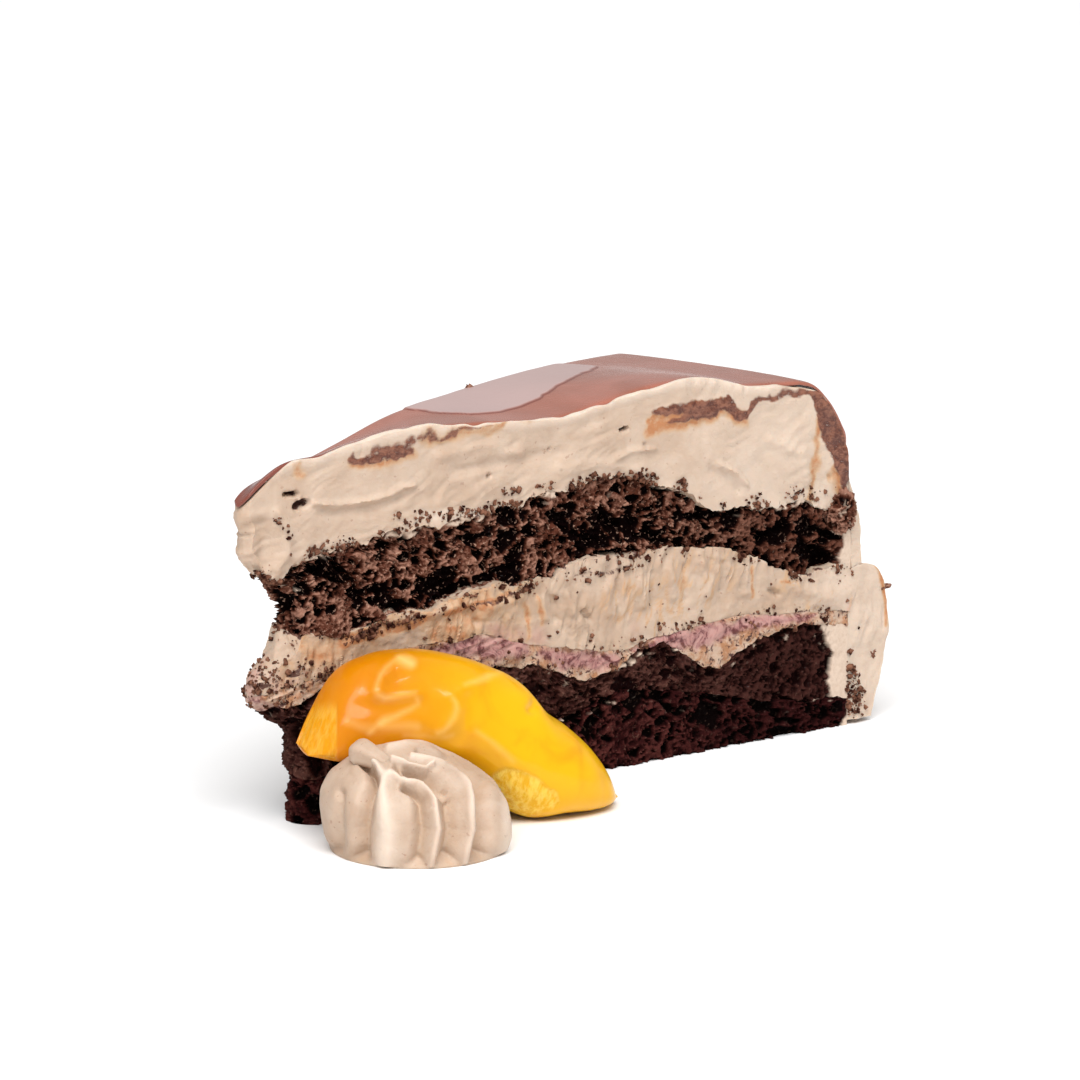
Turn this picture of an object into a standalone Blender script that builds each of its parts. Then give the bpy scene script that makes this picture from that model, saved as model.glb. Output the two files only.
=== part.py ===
"""A slice of mocha layer cake with a piped rosette and a glazed peach piece at its foot.

Metres, +Z up. The slice's tip points to -X and its rim to +X. The cut face with the rosette in front of it
faces -Y. The origin is on the flat underside of the base sponge.
"""

import bpy
import numpy as np

MM = 0.001

# The slice as cut from a round cake
CAKE_RADIUS = 0.1410
HALF_ANGLE = np.radians(10.25)
APEX_X = -0.0920
TIP_HALF_WIDTH = 0.0015
TIP_ROUNDING = 0.6
CREAM_TIP_LOW = 0.0480
CREAM_TIP_HIGH = 0.0600
GAP = 0.0003

# The grid of points on every layer
COLUMNS = 34
ACROSS = 5
SKIRT_ROWS = 12
BASE_ROWS = 4
SOAKED_ROWS = 3
BERRY_ROWS = 2
MIDDLE_CREAM_ROWS = 5
MIDDLE_SPONGE_ROWS = 5
TOP_CREAM_ROWS = 6

# The outer edge: how far the sponge shows through the coat, the coat's foot, and the glaze
SHOULDER_START = 0.1290
MIDDLE_SPONGE_RADIUS = 0.1395
SPONGE_LUMP = 0.0020
SPONGE_LUMP_WIDTH = 0.25
COAT_GAP = 0.0009
COAT_LIP_RADIUS = 0.1445
COAT_FOOT = 0.0010
GLAZE_GAP = 0.0004
GLAZE_DRIP_GAP = 0.0016
GLAZE_THICKNESS = 0.0008
GLAZE_INSET = 0.035
GLAZE_SHORTEST = 0.22
GLAZE_EVEN_SHARE = 0.45
GLAZE_ACROSS = 12
GLAZE_SKIRT_ROWS = 9

# How uneven the cut faces are, how far apart the bumps are, and how the sine waves that make them differ
SPONGE_CRAGS = 0.0009
SPONGE_CRAG_SPACING = 0.0090
CREAM_SWELL = 0.0004
CREAM_SWELL_SPACING = 0.0170
WAVES = 4
WAVE_TURN = 2.4
WAVE_TILT = 1.7
WAVE_SHORTENING = 0.27
WAVE_SHARE = 0.4

# The rosette: a swirl piped through a star nozzle
ROSETTE_BASE = (-0.0733, -0.0273)
ROSETTE_RADIUS = 0.0170
ROSETTE_HEIGHT = 0.0190
ROSETTE_LEAN = (-0.0030, 0.0026)
ROSETTE_LOBES = 8
ROSETTE_GROOVE = 0.17
ROSETTE_TWIST = -1.1
ROSETTE_RIDGE_ROUNDNESS = 0.6
ROSETTE_LEAN_BEND = 1.5
ROSETTE_STEPS = (48, 11)

# The peach piece: its middle line runs from its raised left end to its right end on the ground
PEACH_LEFT = (-0.0862, -0.0112)
PEACH_RIGHT = (-0.0272, -0.0320)
PEACH_STEPS = (30, 20)
PEACH_SQUARENESS = 2.3
PEACH_LEAN = 0.0020
PEACH_RIDGE = 0.0006
PEACH_RIDGE_SPACING = 0.0560
PEACH_RIDGE_SLANT = 1.5
PEACH_CLEARANCE = 0.0009
PEACH_CLEARANCE_STEPS = 60


def curve(points):
    """A smooth curve through (place, value) points in millimetres, level beyond its ends.

    Between two points it is a cubic whose slopes at the ends are those of the neighbouring chords.
    """
    place, value = (np.array(points, float) * MM).T
    slope = np.gradient(value, place)

    def at(x):
        x = np.clip(x, place[0], place[-1])
        i = np.clip(np.searchsorted(place, x) - 1, 0, len(place) - 2)
        span = place[i + 1] - place[i]
        t = (x - place[i]) / span
        start = (1 + 2 * t) * (1 - t) ** 2 * value[i] + t * (1 - t) ** 2 * span * slope[i]
        end = t * t * (3 - 2 * t) * value[i + 1] + t * t * (t - 1) * span * slope[i + 1]
        return start + end

    return at


def polar(x, y):
    """Distance from the cake's middle, and place across the slice from -1 in front to 1 behind."""
    radius = np.hypot(x - APEX_X, y)
    return radius, np.clip(y / (TIP_HALF_WIDTH + radius * np.sin(HALF_ANGLE)), -1, 1)


def boundary(front, back):
    """The height of the boundary between two layers: one curve at each cut face, blended across."""
    in_front, behind = curve(front), curve(back)

    def height(x, y):
        radius, across = polar(x, y)
        share = (across + 1) / 2
        share = share * share * (3 - 2 * share)
        return in_front(radius) * (1 - share) + behind(radius) * share

    return height


def ground(x, y):
    """The flat underside."""
    return np.zeros_like(x)


# The boundaries between the layers, from the bottom up, as (distance from the cake's middle, height)
soaked_sponge_bottom = boundary(
    [(8, 8), (40, 10), (72, 11.6), (86, 14.8), (97, 13.3), (120, 8.4), (134, 6.5), (141, 5.6)],
    [(8, 9), (50, 10.5), (95, 10), (141, 8)],
)
berry_cream_bottom = boundary(
    [(2, 21.5), (16, 24.3), (45, 27.6), (57, 23.8), (68, 22.2), (76, 18.6), (83, 18.6), (90, 21.8),
     (97, 22.2), (103, 18.6), (109, 16.4), (118, 20.2), (125, 21.6), (134, 20.6), (141, 20)],
    [(2, 21.5), (30, 22.5), (70, 20), (110, 21), (141, 19.5)],
)
berry_cream_top = boundary(
    [(2, 25.5), (21, 27.9), (31, 30), (45, 29.8), (55, 29.7), (63, 27.4), (74, 24.8), (86, 22.8),
     (96, 24.2), (104, 24.9), (117, 25.1), (133, 23.6), (141, 22.6)],
    [(2, 25.5), (30, 26.5), (70, 23.6), (110, 24.4), (141, 22.5)],
)
middle_sponge_bottom = boundary(
    [(4, 38.4), (8, 37), (14, 35.8), (21, 34.6), (32, 36.6), (41, 37.2), (53, 38.7), (67, 39), (77, 40.8),
     (96, 40.4), (105, 39.9), (114, 37.4), (120, 34.6), (129, 31.6), (141, 31.6)],
    [(4, 38), (25, 36), (60, 38), (100, 37.5), (141, 33)],
)
middle_sponge_top = boundary(
    [(0, 48), (4, 47.4), (7, 46.6), (11, 48), (20, 50.3), (29, 51.2), (40, 52), (53, 52.7), (64, 54.4),
     (81, 55.7), (86, 55.4), (92, 53.5), (101, 51.2), (106, 47.6), (119, 45.8), (130, 45.5), (137, 43.4),
     (141, 42.8)],
    [(0, 48), (10, 48), (35, 50.5), (70, 52), (105, 49.5), (141, 45)],
)
cream_top = boundary(
    [(0, 58.8), (4.5, 62.8), (9, 65.6), (19, 66.8), (26, 68.1), (38, 69.1), (53, 68.6), (71, 67.4),
     (84, 69.4), (94, 70.8), (107, 70.6), (115, 68.6), (122, 68), (129, 67.6)],
    [(0, 58.8), (5, 61.4), (11, 62.6), (23, 63.6), (33, 65), (49, 67.5), (72, 68.4), (110, 68.3),
     (129, 67.2)],
)

# How far the middle of the blunt tip reaches, as (height, distance from the cake's middle)
tip_middle = curve(
    [(0, 14.2), (12, 14.1), (16, 13.8), (19, 9.4), (23, 5.1), (26, 3.4), (28, 4.1), (32, 8.6), (36, 10.7),
     (43, 10.5), (47, 6.6), (52, 1.9), (55, 2.4), (58, 1.2), (60, 1.6), (64, 5.6)]
)


def tip_reach(height, across):
    """The distance of the tip from the cake's middle: rounded back towards both cut faces."""
    middle = tip_middle(height)
    return middle + TIP_ROUNDING * (TIP_HALF_WIDTH + middle * np.sin(HALF_ANGLE)) * across ** 2


# The coat down the outer edge, in thousandths of the way from the shoulder down to the seam below the sponge
shoulder_radius = curve(
    [(0, 129), (80, 132.5), (170, 135.5), (300, 138.6), (420, 140.2), (540, 140.7), (680, 142.6),
     (820, 143.8), (1000, 144.1)]
)
shoulder_height = curve(
    [(0, 1000), (80, 968), (170, 890), (300, 755), (420, 630), (540, 500), (680, 350), (820, 200), (1000, 0)]
)
# The coat below the seam, in thousandths of the way down to its foot
coat_radius = curve(
    [(0, 144.5), (70, 147), (170, 149.2), (300, 150.4), (500, 150.5), (670, 149.9), (830, 148.6),
     (1000, 146.9)]
)
coat_height = curve(
    [(0, 1000), (70, 975), (170, 880), (300, 730), (500, 510), (670, 330), (830, 165), (1000, 0)]
)
# How far down the shoulder the glaze runs, by place across the slice in thousandths from -1000 to 1000
glaze_drips = curve(
    [(-1000, 330), (-850, 540), (-680, 480), (-500, 280), (-300, 250), (-120, 390), (50, 520), (220, 430),
     (400, 250), (600, 300), (780, 480), (920, 400), (1000, 300)]
)


def swell(x, y, z, spacing, start):
    """A bumpy value near -1 to 1: a sum of sine waves that cross, each a little shorter than the last."""
    total = 0
    for wave in range(WAVES):
        turn = start + WAVE_TURN * wave
        along = x * np.cos(turn) + y * np.sin(turn) + z * np.sin(WAVE_TILT * turn)
        total = total + np.sin(along * 2 * np.pi / spacing * (1 + WAVE_SHORTENING * wave) + turn)
    return total * WAVE_SHARE


def sponge_relief(x, y, z):
    """Crags of torn sponge."""
    return SPONGE_CRAGS * swell(x, y, z, SPONGE_CRAG_SPACING, 1.0)


def cream_relief(x, y, z):
    """Long low swells of cut cream."""
    return CREAM_SWELL * swell(x, y, z, CREAM_SWELL_SPACING, 4.0)


def grid(columns, rows, across, width=1.0):
    """Three arrays of a box of points: tip to rim 0 to 1, bottom to top 0 to 1, front to back -1 to 1."""
    tip_to_rim, upwards = np.linspace(0, 1, columns + 1), np.linspace(0, 1, rows + 1)
    return np.meshgrid(tip_to_rim, upwards, np.linspace(-width, width, across + 1), indexing="ij")


def on_slice(radius, across):
    """The place of a point from its distance to the cake's middle and its place across the slice."""
    angle = across * HALF_ANGLE
    return APEX_X + radius * np.cos(angle), radius * np.sin(angle) + TIP_HALF_WIDTH * across


def between(low, high, share):
    """The value at a share of the way from low to high."""
    return low + (high - low) * share


def pushed_sideways(x, y, z, across, relief):
    """Points on the two cut faces moved out or in by the relief, square to their face."""
    push = relief(x, y, z) * (np.abs(across) == 1)
    return x - push * np.sin(HALF_ANGLE), y + push * np.sign(across) * np.cos(HALF_ANGLE)


def layer(bottom, top, rows, relief, rim):
    """The points of one layer that runs from the tip to the rim between two boundaries."""
    along, up, across = grid(COLUMNS, rows, ACROSS)
    x, y = on_slice(along * CAKE_RADIUS, across)
    tip = tip_reach(between(bottom(x, y), top(x, y), up), across)
    x, y = on_slice(between(tip, rim(across), along), across)
    x, y = pushed_sideways(x, y, between(bottom(x, y), top(x, y), up), across, relief)
    low = bottom(x, y) + (0 if bottom is ground else GAP / 2)
    return np.stack([x, y, between(low, top(x, y) - GAP / 2, up)], -1)


def stations(columns, skirt_rows, rows, across, width=1.0):
    """The box of points of a layer that turns down at the rim: along the top 0 to 1, then down 0 to 1."""
    step, up, side = grid(columns + skirt_rows, rows, across, width)
    step = step * (columns + skirt_rows)
    return np.minimum(step / columns, 1), np.clip((step - columns) / skirt_rows, 0, 1), up, side


def plain_rim(across):
    """The outer edge of the layers that the coat covers."""
    return np.full_like(across, CAKE_RADIUS)


def middle_sponge_rim(across):
    """The middle sponge's outer edge, with the lump that pokes out beside the front cut."""
    return MIDDLE_SPONGE_RADIUS + SPONGE_LUMP * np.exp(-(((across + 1) / SPONGE_LUMP_WIDTH) ** 2))


def shoulder(down, across):
    """Radius and height of the top cream's outer side at a share of the way down."""
    seam = middle_sponge_bottom(*on_slice(COAT_LIP_RADIUS, across)) + GAP / 2
    brow = cream_top(*on_slice(SHOULDER_START, across))
    return shoulder_radius(down), between(seam, brow, shoulder_height(down))


def top_cream():
    """The thick cream layer under the glaze, with the thin coat that it leaves down the outer edge."""
    along, down, up, across = stations(COLUMNS, SKIRT_ROWS, TOP_CREAM_ROWS, ACROSS)
    on_top = down == 0
    tip = tip_reach(between(CREAM_TIP_LOW, CREAM_TIP_HIGH, up), across)
    inner_rim = middle_sponge_rim(across) + COAT_GAP
    side_radius, side_height = shoulder(down, across)
    outer = np.where(on_top, between(tip, SHOULDER_START, along), side_radius)
    x, y = on_slice(between(between(tip, inner_rim, along), outer, up), across)
    x, y = pushed_sideways(x, y, between(CREAM_TIP_LOW, CREAM_TIP_HIGH, up), across, cream_relief)
    ledge = middle_sponge_top(*on_slice(inner_rim, across)) + GAP / 2
    seam = middle_sponge_bottom(*on_slice(inner_rim, across)) + GAP / 2
    low = np.where(on_top, middle_sponge_top(x, y) + GAP / 2, between(ledge, seam, down))
    high = np.where(on_top, cream_top(x, y), side_height)
    return np.stack([x, y, between(low, high, up)], -1)


def middle_cream():
    """The cream between the sponges, with the thick coat that runs on down the outer edge."""
    along, down, up, across = stations(COLUMNS, SKIRT_ROWS, MIDDLE_CREAM_ROWS, ACROSS)
    on_top = down == 0
    x, y = on_slice(along * CAKE_RADIUS, across)
    tip = tip_reach(between(berry_cream_top(x, y), middle_sponge_bottom(x, y), up), across)
    inner_rim = CAKE_RADIUS + COAT_GAP
    outer = np.where(on_top, between(tip, COAT_LIP_RADIUS, along), coat_radius(down))
    x, y = on_slice(between(between(tip, inner_rim, along), outer, up), across)
    height = between(berry_cream_top(x, y), middle_sponge_bottom(x, y), up)
    x, y = pushed_sideways(x, y, height, across, cream_relief)
    ledge = berry_cream_top(*on_slice(inner_rim, across)) + GAP / 2
    brow = middle_sponge_bottom(*on_slice(COAT_LIP_RADIUS, across)) - GAP / 2
    low = np.where(on_top, berry_cream_top(x, y) + GAP / 2, between(ledge, COAT_FOOT, down))
    high = np.where(on_top, middle_sponge_bottom(x, y) - GAP / 2, between(COAT_FOOT, brow, coat_height(down)))
    return np.stack([x, y, between(low, high, up)], -1)


def glaze():
    """The thin chocolate skin: over the top, round the shoulder and down it in drips."""
    along, down, up, across = stations(COLUMNS, GLAZE_SKIRT_ROWS, 1, GLAZE_ACROSS, 1 - GLAZE_INSET)
    tip = tip_reach(CREAM_TIP_HIGH, across)
    even = np.minimum(down / GLAZE_EVEN_SHARE, 1)
    hanging = np.clip((down - GLAZE_EVEN_SHARE) / (1 - GLAZE_EVEN_SHARE), 0, 1)
    down = between(GLAZE_SHORTEST * even, glaze_drips(across), hanging)
    side_radius, side_height = shoulder(down, across)
    radius = np.where(along < 1, between(tip, SHOULDER_START, along), side_radius)
    height = np.where(along < 1, cream_top(*on_slice(radius, across)), side_height)
    run, rise = np.gradient(radius, axis=0), np.gradient(height, axis=0)
    lift = (GLAZE_GAP + GLAZE_DRIP_GAP * down + GLAZE_THICKNESS * up) / np.hypot(run, rise)
    x, y = on_slice(radius - rise * lift, across)
    return np.stack([x, y, height + run * lift], -1)


def box_faces(points):
    """The outer faces of a bent box of points, all facing out, and the points they use."""
    number = np.arange(points[..., 0].size).reshape(points.shape[:3])
    sides = [
        number[:, -1, :], number[:, 0, :].T,
        number[:, :, 0], number[:, :, -1].T,
        number[-1, :, :].T, number[0, :, :],
    ]
    faces = np.concatenate([
        np.stack([s[:-1, :-1], s[1:, :-1], s[1:, 1:], s[:-1, 1:]], -1).reshape(-1, 4) for s in sides
    ])
    used, faces = np.unique(faces, return_inverse=True)
    return points.reshape(-1, 3)[used], faces.reshape(-1, 4).tolist()


def capped_tube(points):
    """Faces of rings of points, each ring a row, closed by a fan on a middle point at both ends."""
    rings, around = points.shape[:2]
    number = np.arange(rings * around).reshape(rings, around)
    after = np.roll(number, -1, axis=1)
    sides = np.stack([number[:-1], after[:-1], after[1:], number[1:]], -1).reshape(-1, 4)
    ends = np.array([points[0].mean(0), points[-1].mean(0)])
    first, last = rings * around, rings * around + 1
    fans = [(first, int(b), int(a)) for a, b in zip(number[0], after[0])]
    fans += [(last, int(a), int(b)) for a, b in zip(number[-1], after[-1])]
    return np.concatenate([points.reshape(-1, 3), ends]), sides.tolist() + fans


# The rosette's radius in thousandths of its widest, by thousandths of its height
rosette_radius = curve(
    [(0, 920), (120, 990), (300, 1000), (500, 960), (600, 910), (680, 830), (780, 690), (880, 530),
     (950, 350), (1000, 110)]
)


def rosette_middle(share):
    """The swirl's middle line, which leans towards its tail as it rises, by share of its height."""
    return [ROSETTE_BASE[i] + ROSETTE_LEAN[i] * share ** ROSETTE_LEAN_BEND for i in (0, 1)]


def rosette():
    """A star-nozzle swirl: round ridges with sharp valleys that turn as they rise, closing at the peak."""
    around, rows = ROSETTE_STEPS
    turns = np.arange(around) * 2 * np.pi / around
    share, angle = np.meshgrid(np.linspace(0, 1, rows + 1), turns, indexing="ij")
    turn = angle + ROSETTE_TWIST * share
    valley = 1 - np.abs(np.cos(turn * ROSETTE_LOBES / 2)) ** ROSETTE_RIDGE_ROUNDNESS
    radius = ROSETTE_RADIUS * rosette_radius(share) * (1 - ROSETTE_GROOVE * valley)
    middle = rosette_middle(share)
    points = np.stack([middle[0] + radius * np.cos(angle), middle[1] + radius * np.sin(angle),
                       ROSETTE_HEIGHT * share], -1)
    return capped_tube(points)


def rosette_envelope(x, y):
    """The height below which a point above the rosette would touch it, or 0 beside it."""
    height = np.zeros_like(x)
    for share in np.linspace(0, 1, PEACH_CLEARANCE_STEPS):
        middle = rosette_middle(share)
        reach = ROSETTE_RADIUS * rosette_radius(share) + PEACH_CLEARANCE
        inside = np.hypot(x - middle[0], y - middle[1]) < reach
        height = np.where(inside, ROSETTE_HEIGHT * share + PEACH_CLEARANCE, height)
    return height


# The peach piece's top, underside and half depth, by distance from its left end
peach_top = curve(
    [(0, 18), (3, 22.5), (8, 29.3), (15, 32.4), (22, 32.6), (30, 31), (38, 28), (44, 24.4), (48, 19.6),
     (53, 15.6), (57, 11.6), (60, 7.4), (62.4, 2.6)]
)
peach_bottom = curve(
    [(0, 16.6), (4, 15.8), (20, 15), (28, 13), (34, 8), (38, 3), (42, 0.6), (50, 0.3), (58, 0.3), (62.4, 1.4)]
)
peach_half_depth = curve(
    [(0, 1.2), (3, 4), (8, 6.2), (15, 7.4), (24, 8.4), (34, 9.6), (44, 10.6), (50, 10.4), (56, 8.4),
     (60, 5.4), (62.4, 1)]
)


def peach():
    """A peach piece under clear glaze: round cross-sections along its middle line, from end to end.

    Its underside lifts over the rosette that it leans on.
    """
    steps, around = PEACH_STEPS
    left, right = np.array(PEACH_LEFT), np.array(PEACH_RIGHT)
    length = np.linalg.norm(right - left)
    places = (1 - np.cos(np.linspace(0, np.pi, steps + 1))) / 2 * length
    turns = -np.arange(around) * 2 * np.pi / around
    along, angle = np.meshgrid(places, turns, indexing="ij")
    power = 2 / PEACH_SQUARENESS
    side = np.sign(np.cos(angle)) * np.abs(np.cos(angle)) ** power
    rise = np.sign(np.sin(angle)) * np.abs(np.sin(angle)) ** power
    low, high = peach_bottom(along), peach_top(along)
    depth = peach_half_depth(along) * side - PEACH_LEAN * rise
    z = (low + high) / 2 + (high - low) / 2 * rise
    direction = (right - left) / length
    forward = np.array([direction[1], -direction[0]])
    wave = 2 * np.pi * along / PEACH_RIDGE_SPACING - PEACH_RIDGE_SLANT * angle
    ridge = PEACH_RIDGE * np.sin(wave) * np.clip(rise, 0, 1)
    x = left[0] + direction[0] * along + forward[0] * depth
    y = left[1] + direction[1] * along + forward[1] * depth
    z = np.maximum(z + ridge, np.minimum(rosette_envelope(x, y), high))
    return capped_tube(np.stack([x, y, z], -1))


def material(name, colour, roughness):
    """A plain food surface of one colour."""
    made = bpy.data.materials.new(name)
    made.use_nodes = True
    shader = made.node_tree.nodes["Principled BSDF"]
    shader.inputs["Base Color"].default_value = (*colour, 1)
    shader.inputs["Roughness"].default_value = roughness
    shader.inputs["Metallic"].default_value = 0
    return made


def build(name, points, faces, surface):
    """A named object from points and faces, with its material."""
    mesh = bpy.data.meshes.new(name)
    mesh.from_pydata(points.tolist(), [], faces)
    mesh.materials.append(surface)
    mesh.validate()
    made = bpy.data.objects.new(name, mesh)
    bpy.context.scene.collection.objects.link(made)
    return made


def main():
    for old in list(bpy.data.objects):
        bpy.data.objects.remove(old, do_unlink=True)

    sponge = material("chocolate_sponge", (0.045, 0.022, 0.016), 0.9)
    soaked = material("soaked_chocolate_sponge", (0.060, 0.030, 0.025), 0.7)
    cream = material("mocha_cream", (0.58, 0.44, 0.33), 0.55)
    pink = material("berry_cream", (0.50, 0.27, 0.30), 0.55)
    chocolate = material("chocolate_glaze", (0.16, 0.055, 0.04), 0.2)
    fruit = material("glazed_peach", (0.90, 0.42, 0.02), 0.12)

    base = layer(ground, soaked_sponge_bottom, BASE_ROWS, sponge_relief, plain_rim)
    soaked_sheet = layer(soaked_sponge_bottom, berry_cream_bottom, SOAKED_ROWS, sponge_relief, plain_rim)
    berry = layer(berry_cream_bottom, berry_cream_top, BERRY_ROWS, cream_relief, plain_rim)
    middle = layer(
        middle_sponge_bottom, middle_sponge_top, MIDDLE_SPONGE_ROWS, sponge_relief, middle_sponge_rim
    )
    build("base_sponge", *box_faces(base), sponge)
    build("soaked_sponge", *box_faces(soaked_sheet), soaked)
    build("berry_cream", *box_faces(berry), pink)
    build("middle_cream", *box_faces(middle_cream()), cream)
    build("middle_sponge", *box_faces(middle), sponge)
    build("top_cream", *box_faces(top_cream()), cream)
    build("glaze", *box_faces(glaze()), chocolate)
    build("rosette", *rosette(), cream)
    build("peach", *peach(), fruit)


main()
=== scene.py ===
# %% [markdown]
# # A slice of mocha cake
#
# A wedge of a round layer cake: two kinds of dark sponge, a little pink berry cream, coffee cream and a thin
# chocolate glaze. A piped rosette and a piece of jellied peach lie at the foot of its cut face. The packed
# CAD model gives every size. Here each layer is made again on a much finer grid, with the crumb, the drag of
# the knife and the smears that a real slice has.

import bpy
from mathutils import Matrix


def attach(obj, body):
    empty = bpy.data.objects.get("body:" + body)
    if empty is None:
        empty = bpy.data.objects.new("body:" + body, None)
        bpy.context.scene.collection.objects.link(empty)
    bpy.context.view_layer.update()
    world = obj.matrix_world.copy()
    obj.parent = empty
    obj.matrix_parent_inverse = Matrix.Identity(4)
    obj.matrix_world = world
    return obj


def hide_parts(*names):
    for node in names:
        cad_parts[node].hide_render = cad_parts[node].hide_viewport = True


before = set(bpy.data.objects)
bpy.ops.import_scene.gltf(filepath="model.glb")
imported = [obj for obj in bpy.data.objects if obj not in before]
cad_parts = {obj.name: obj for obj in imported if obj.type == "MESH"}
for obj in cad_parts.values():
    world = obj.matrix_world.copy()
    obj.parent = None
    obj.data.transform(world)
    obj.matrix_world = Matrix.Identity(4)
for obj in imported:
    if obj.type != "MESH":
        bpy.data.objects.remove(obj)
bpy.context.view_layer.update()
print("packed nodes:", sorted(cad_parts))

import bpy
import numpy as np
from mathutils import Vector

MM = 0.001
scene = bpy.context.scene
scene.view_settings.view_transform = "Standard"

# %% [markdown]
# ## Camera
#
# The slice is seen from in front of its tip, a little from above. A short lens would make the rim look small
# and far away. A long lens from 1.1 metres keeps the layers almost parallel, as in a studio picture of food.

# %% The camera
AZIMUTH, ELEVATION = np.radians(-47.8), np.radians(14.2)
DISTANCE = 1.1
LENS = 192.6
AIM_RIGHT, AIM_UP = -8.05 * MM, 39.15 * MM

towards_viewer = Vector((
    np.sin(AZIMUTH) * np.cos(ELEVATION), -np.cos(AZIMUTH) * np.cos(ELEVATION), np.sin(ELEVATION)
))
view_right = Vector((np.cos(AZIMUTH), np.sin(AZIMUTH), 0))
view_up = towards_viewer.cross(view_right)
camera = bpy.data.objects.new("camera", bpy.data.cameras.new("camera"))
scene.collection.objects.link(camera)
camera.data.lens = LENS
camera.location = towards_viewer * DISTANCE
aim = view_right * AIM_RIGHT + view_up * AIM_UP
camera.rotation_euler = (camera.location - aim).to_track_quat("Z", "Y").to_euler()
scene.camera = camera
print("camera at", [round(c, 3) for c in camera.location])

# %% Where a point falls in the picture
PICTURE = 1080
ORIGIN_IN_PICTURE = (582.3, 745.7)
SENSOR_WIDTH = 36


def in_picture(points):
    """Right and down in the picture's pixels: how far right and up a point is, over its distance away."""
    away = DISTANCE - points @ np.array(towards_viewer)
    scale = LENS / SENSOR_WIDTH * PICTURE / away
    right = ORIGIN_IN_PICTURE[0] + points @ np.array(view_right) * scale
    return right, ORIGIN_IN_PICTURE[1] - points @ np.array(view_up) * scale


# %% [markdown]
# ## Light
#
# Food is often lit high-key: a white room, a broad soft lamp from above on the tip's side, and a long strip
# that draws the bright lines on jelly and glaze. A sun with a wide angle is a soft lamp that lights floor
# and object alike. Area lamps near the object give the shaped reflections.

# %% World and lamps
WORLD_STRENGTH = 0.46
HEART, FOOT = (-0.02, 0, 0.04), (-0.05, -0.02, 0.03)
# Name, kind, place, target, strength and further settings
LAMPS = [
    ("soft_sun", "SUN", (-0.5, -0.7, 1.3), HEART, 2.6, {"angle": np.radians(40)}),
    ("softbox", "AREA", (-0.75, -0.25, 0.75), FOOT, 4.0, {"shape": "RECTANGLE", "size": 0.4, "size_y": 0.6}),
    ("strip", "AREA", (-0.15, -0.75, 0.85), FOOT, 1.5, {"shape": "RECTANGLE", "size": 0.5, "size_y": 0.06}),
]

world = bpy.data.worlds.new("white_room")
world.use_nodes = True
background = world.node_tree.nodes["Background"]
background.inputs["Color"].default_value = (1, 1, 1, 1)
background.inputs["Strength"].default_value = WORLD_STRENGTH
scene.world = world
for name, kind, place, target, strength, settings in LAMPS:
    data = bpy.data.lights.new(name, kind)
    data.energy = strength
    for key, value in settings.items():
        setattr(data, key, value)
    lamp = bpy.data.objects.new(name, data)
    lamp.location = place
    lamp.rotation_euler = (Vector(place) - Vector(target)).to_track_quat("Z", "Y").to_euler()
    scene.collection.objects.link(lamp)
print("lamps:", [row[0] for row in LAMPS])

# %% [markdown]
# ## Writing materials as formulas
#
# A material is a web of nodes. Wiring each node by hand hides what it works out, so a small class wraps a
# socket and lets the usual signs add the Math nodes. One method makes any other node.

# %% A socket with arithmetic, and a material that makes nodes


class Number:
    """The output of a node, which can be added, subtracted and multiplied like a number."""

    def __init__(self, finish, socket):
        self.finish, self.socket = finish, socket

    def math(self, operation, *values):
        return self.finish.node("Math", {"operation": operation}, dict(enumerate(values)))

    def __add__(self, other):
        return self.math("ADD", self, other)

    def __sub__(self, other):
        return self.math("SUBTRACT", self, other)

    def __rsub__(self, other):
        return self.math("SUBTRACT", other, self)

    def __mul__(self, other):
        return self.math("MULTIPLY", self, other)

    __radd__ = __add__
    __rmul__ = __mul__

    def smooth(self, low, high, start=0.0, end=1.0):
        """A soft step from start to end while this value goes from low to high."""
        return self.finish.node(
            "MapRange", {"interpolation_type": "SMOOTHSTEP"},
            {"Value": self, "From Min": low, "From Max": high, "To Min": start, "To Max": end},
        )

    def limited(self):
        """This value kept from 0 to 1."""
        return self.finish.node("Clamp", {}, {0: self})


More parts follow.
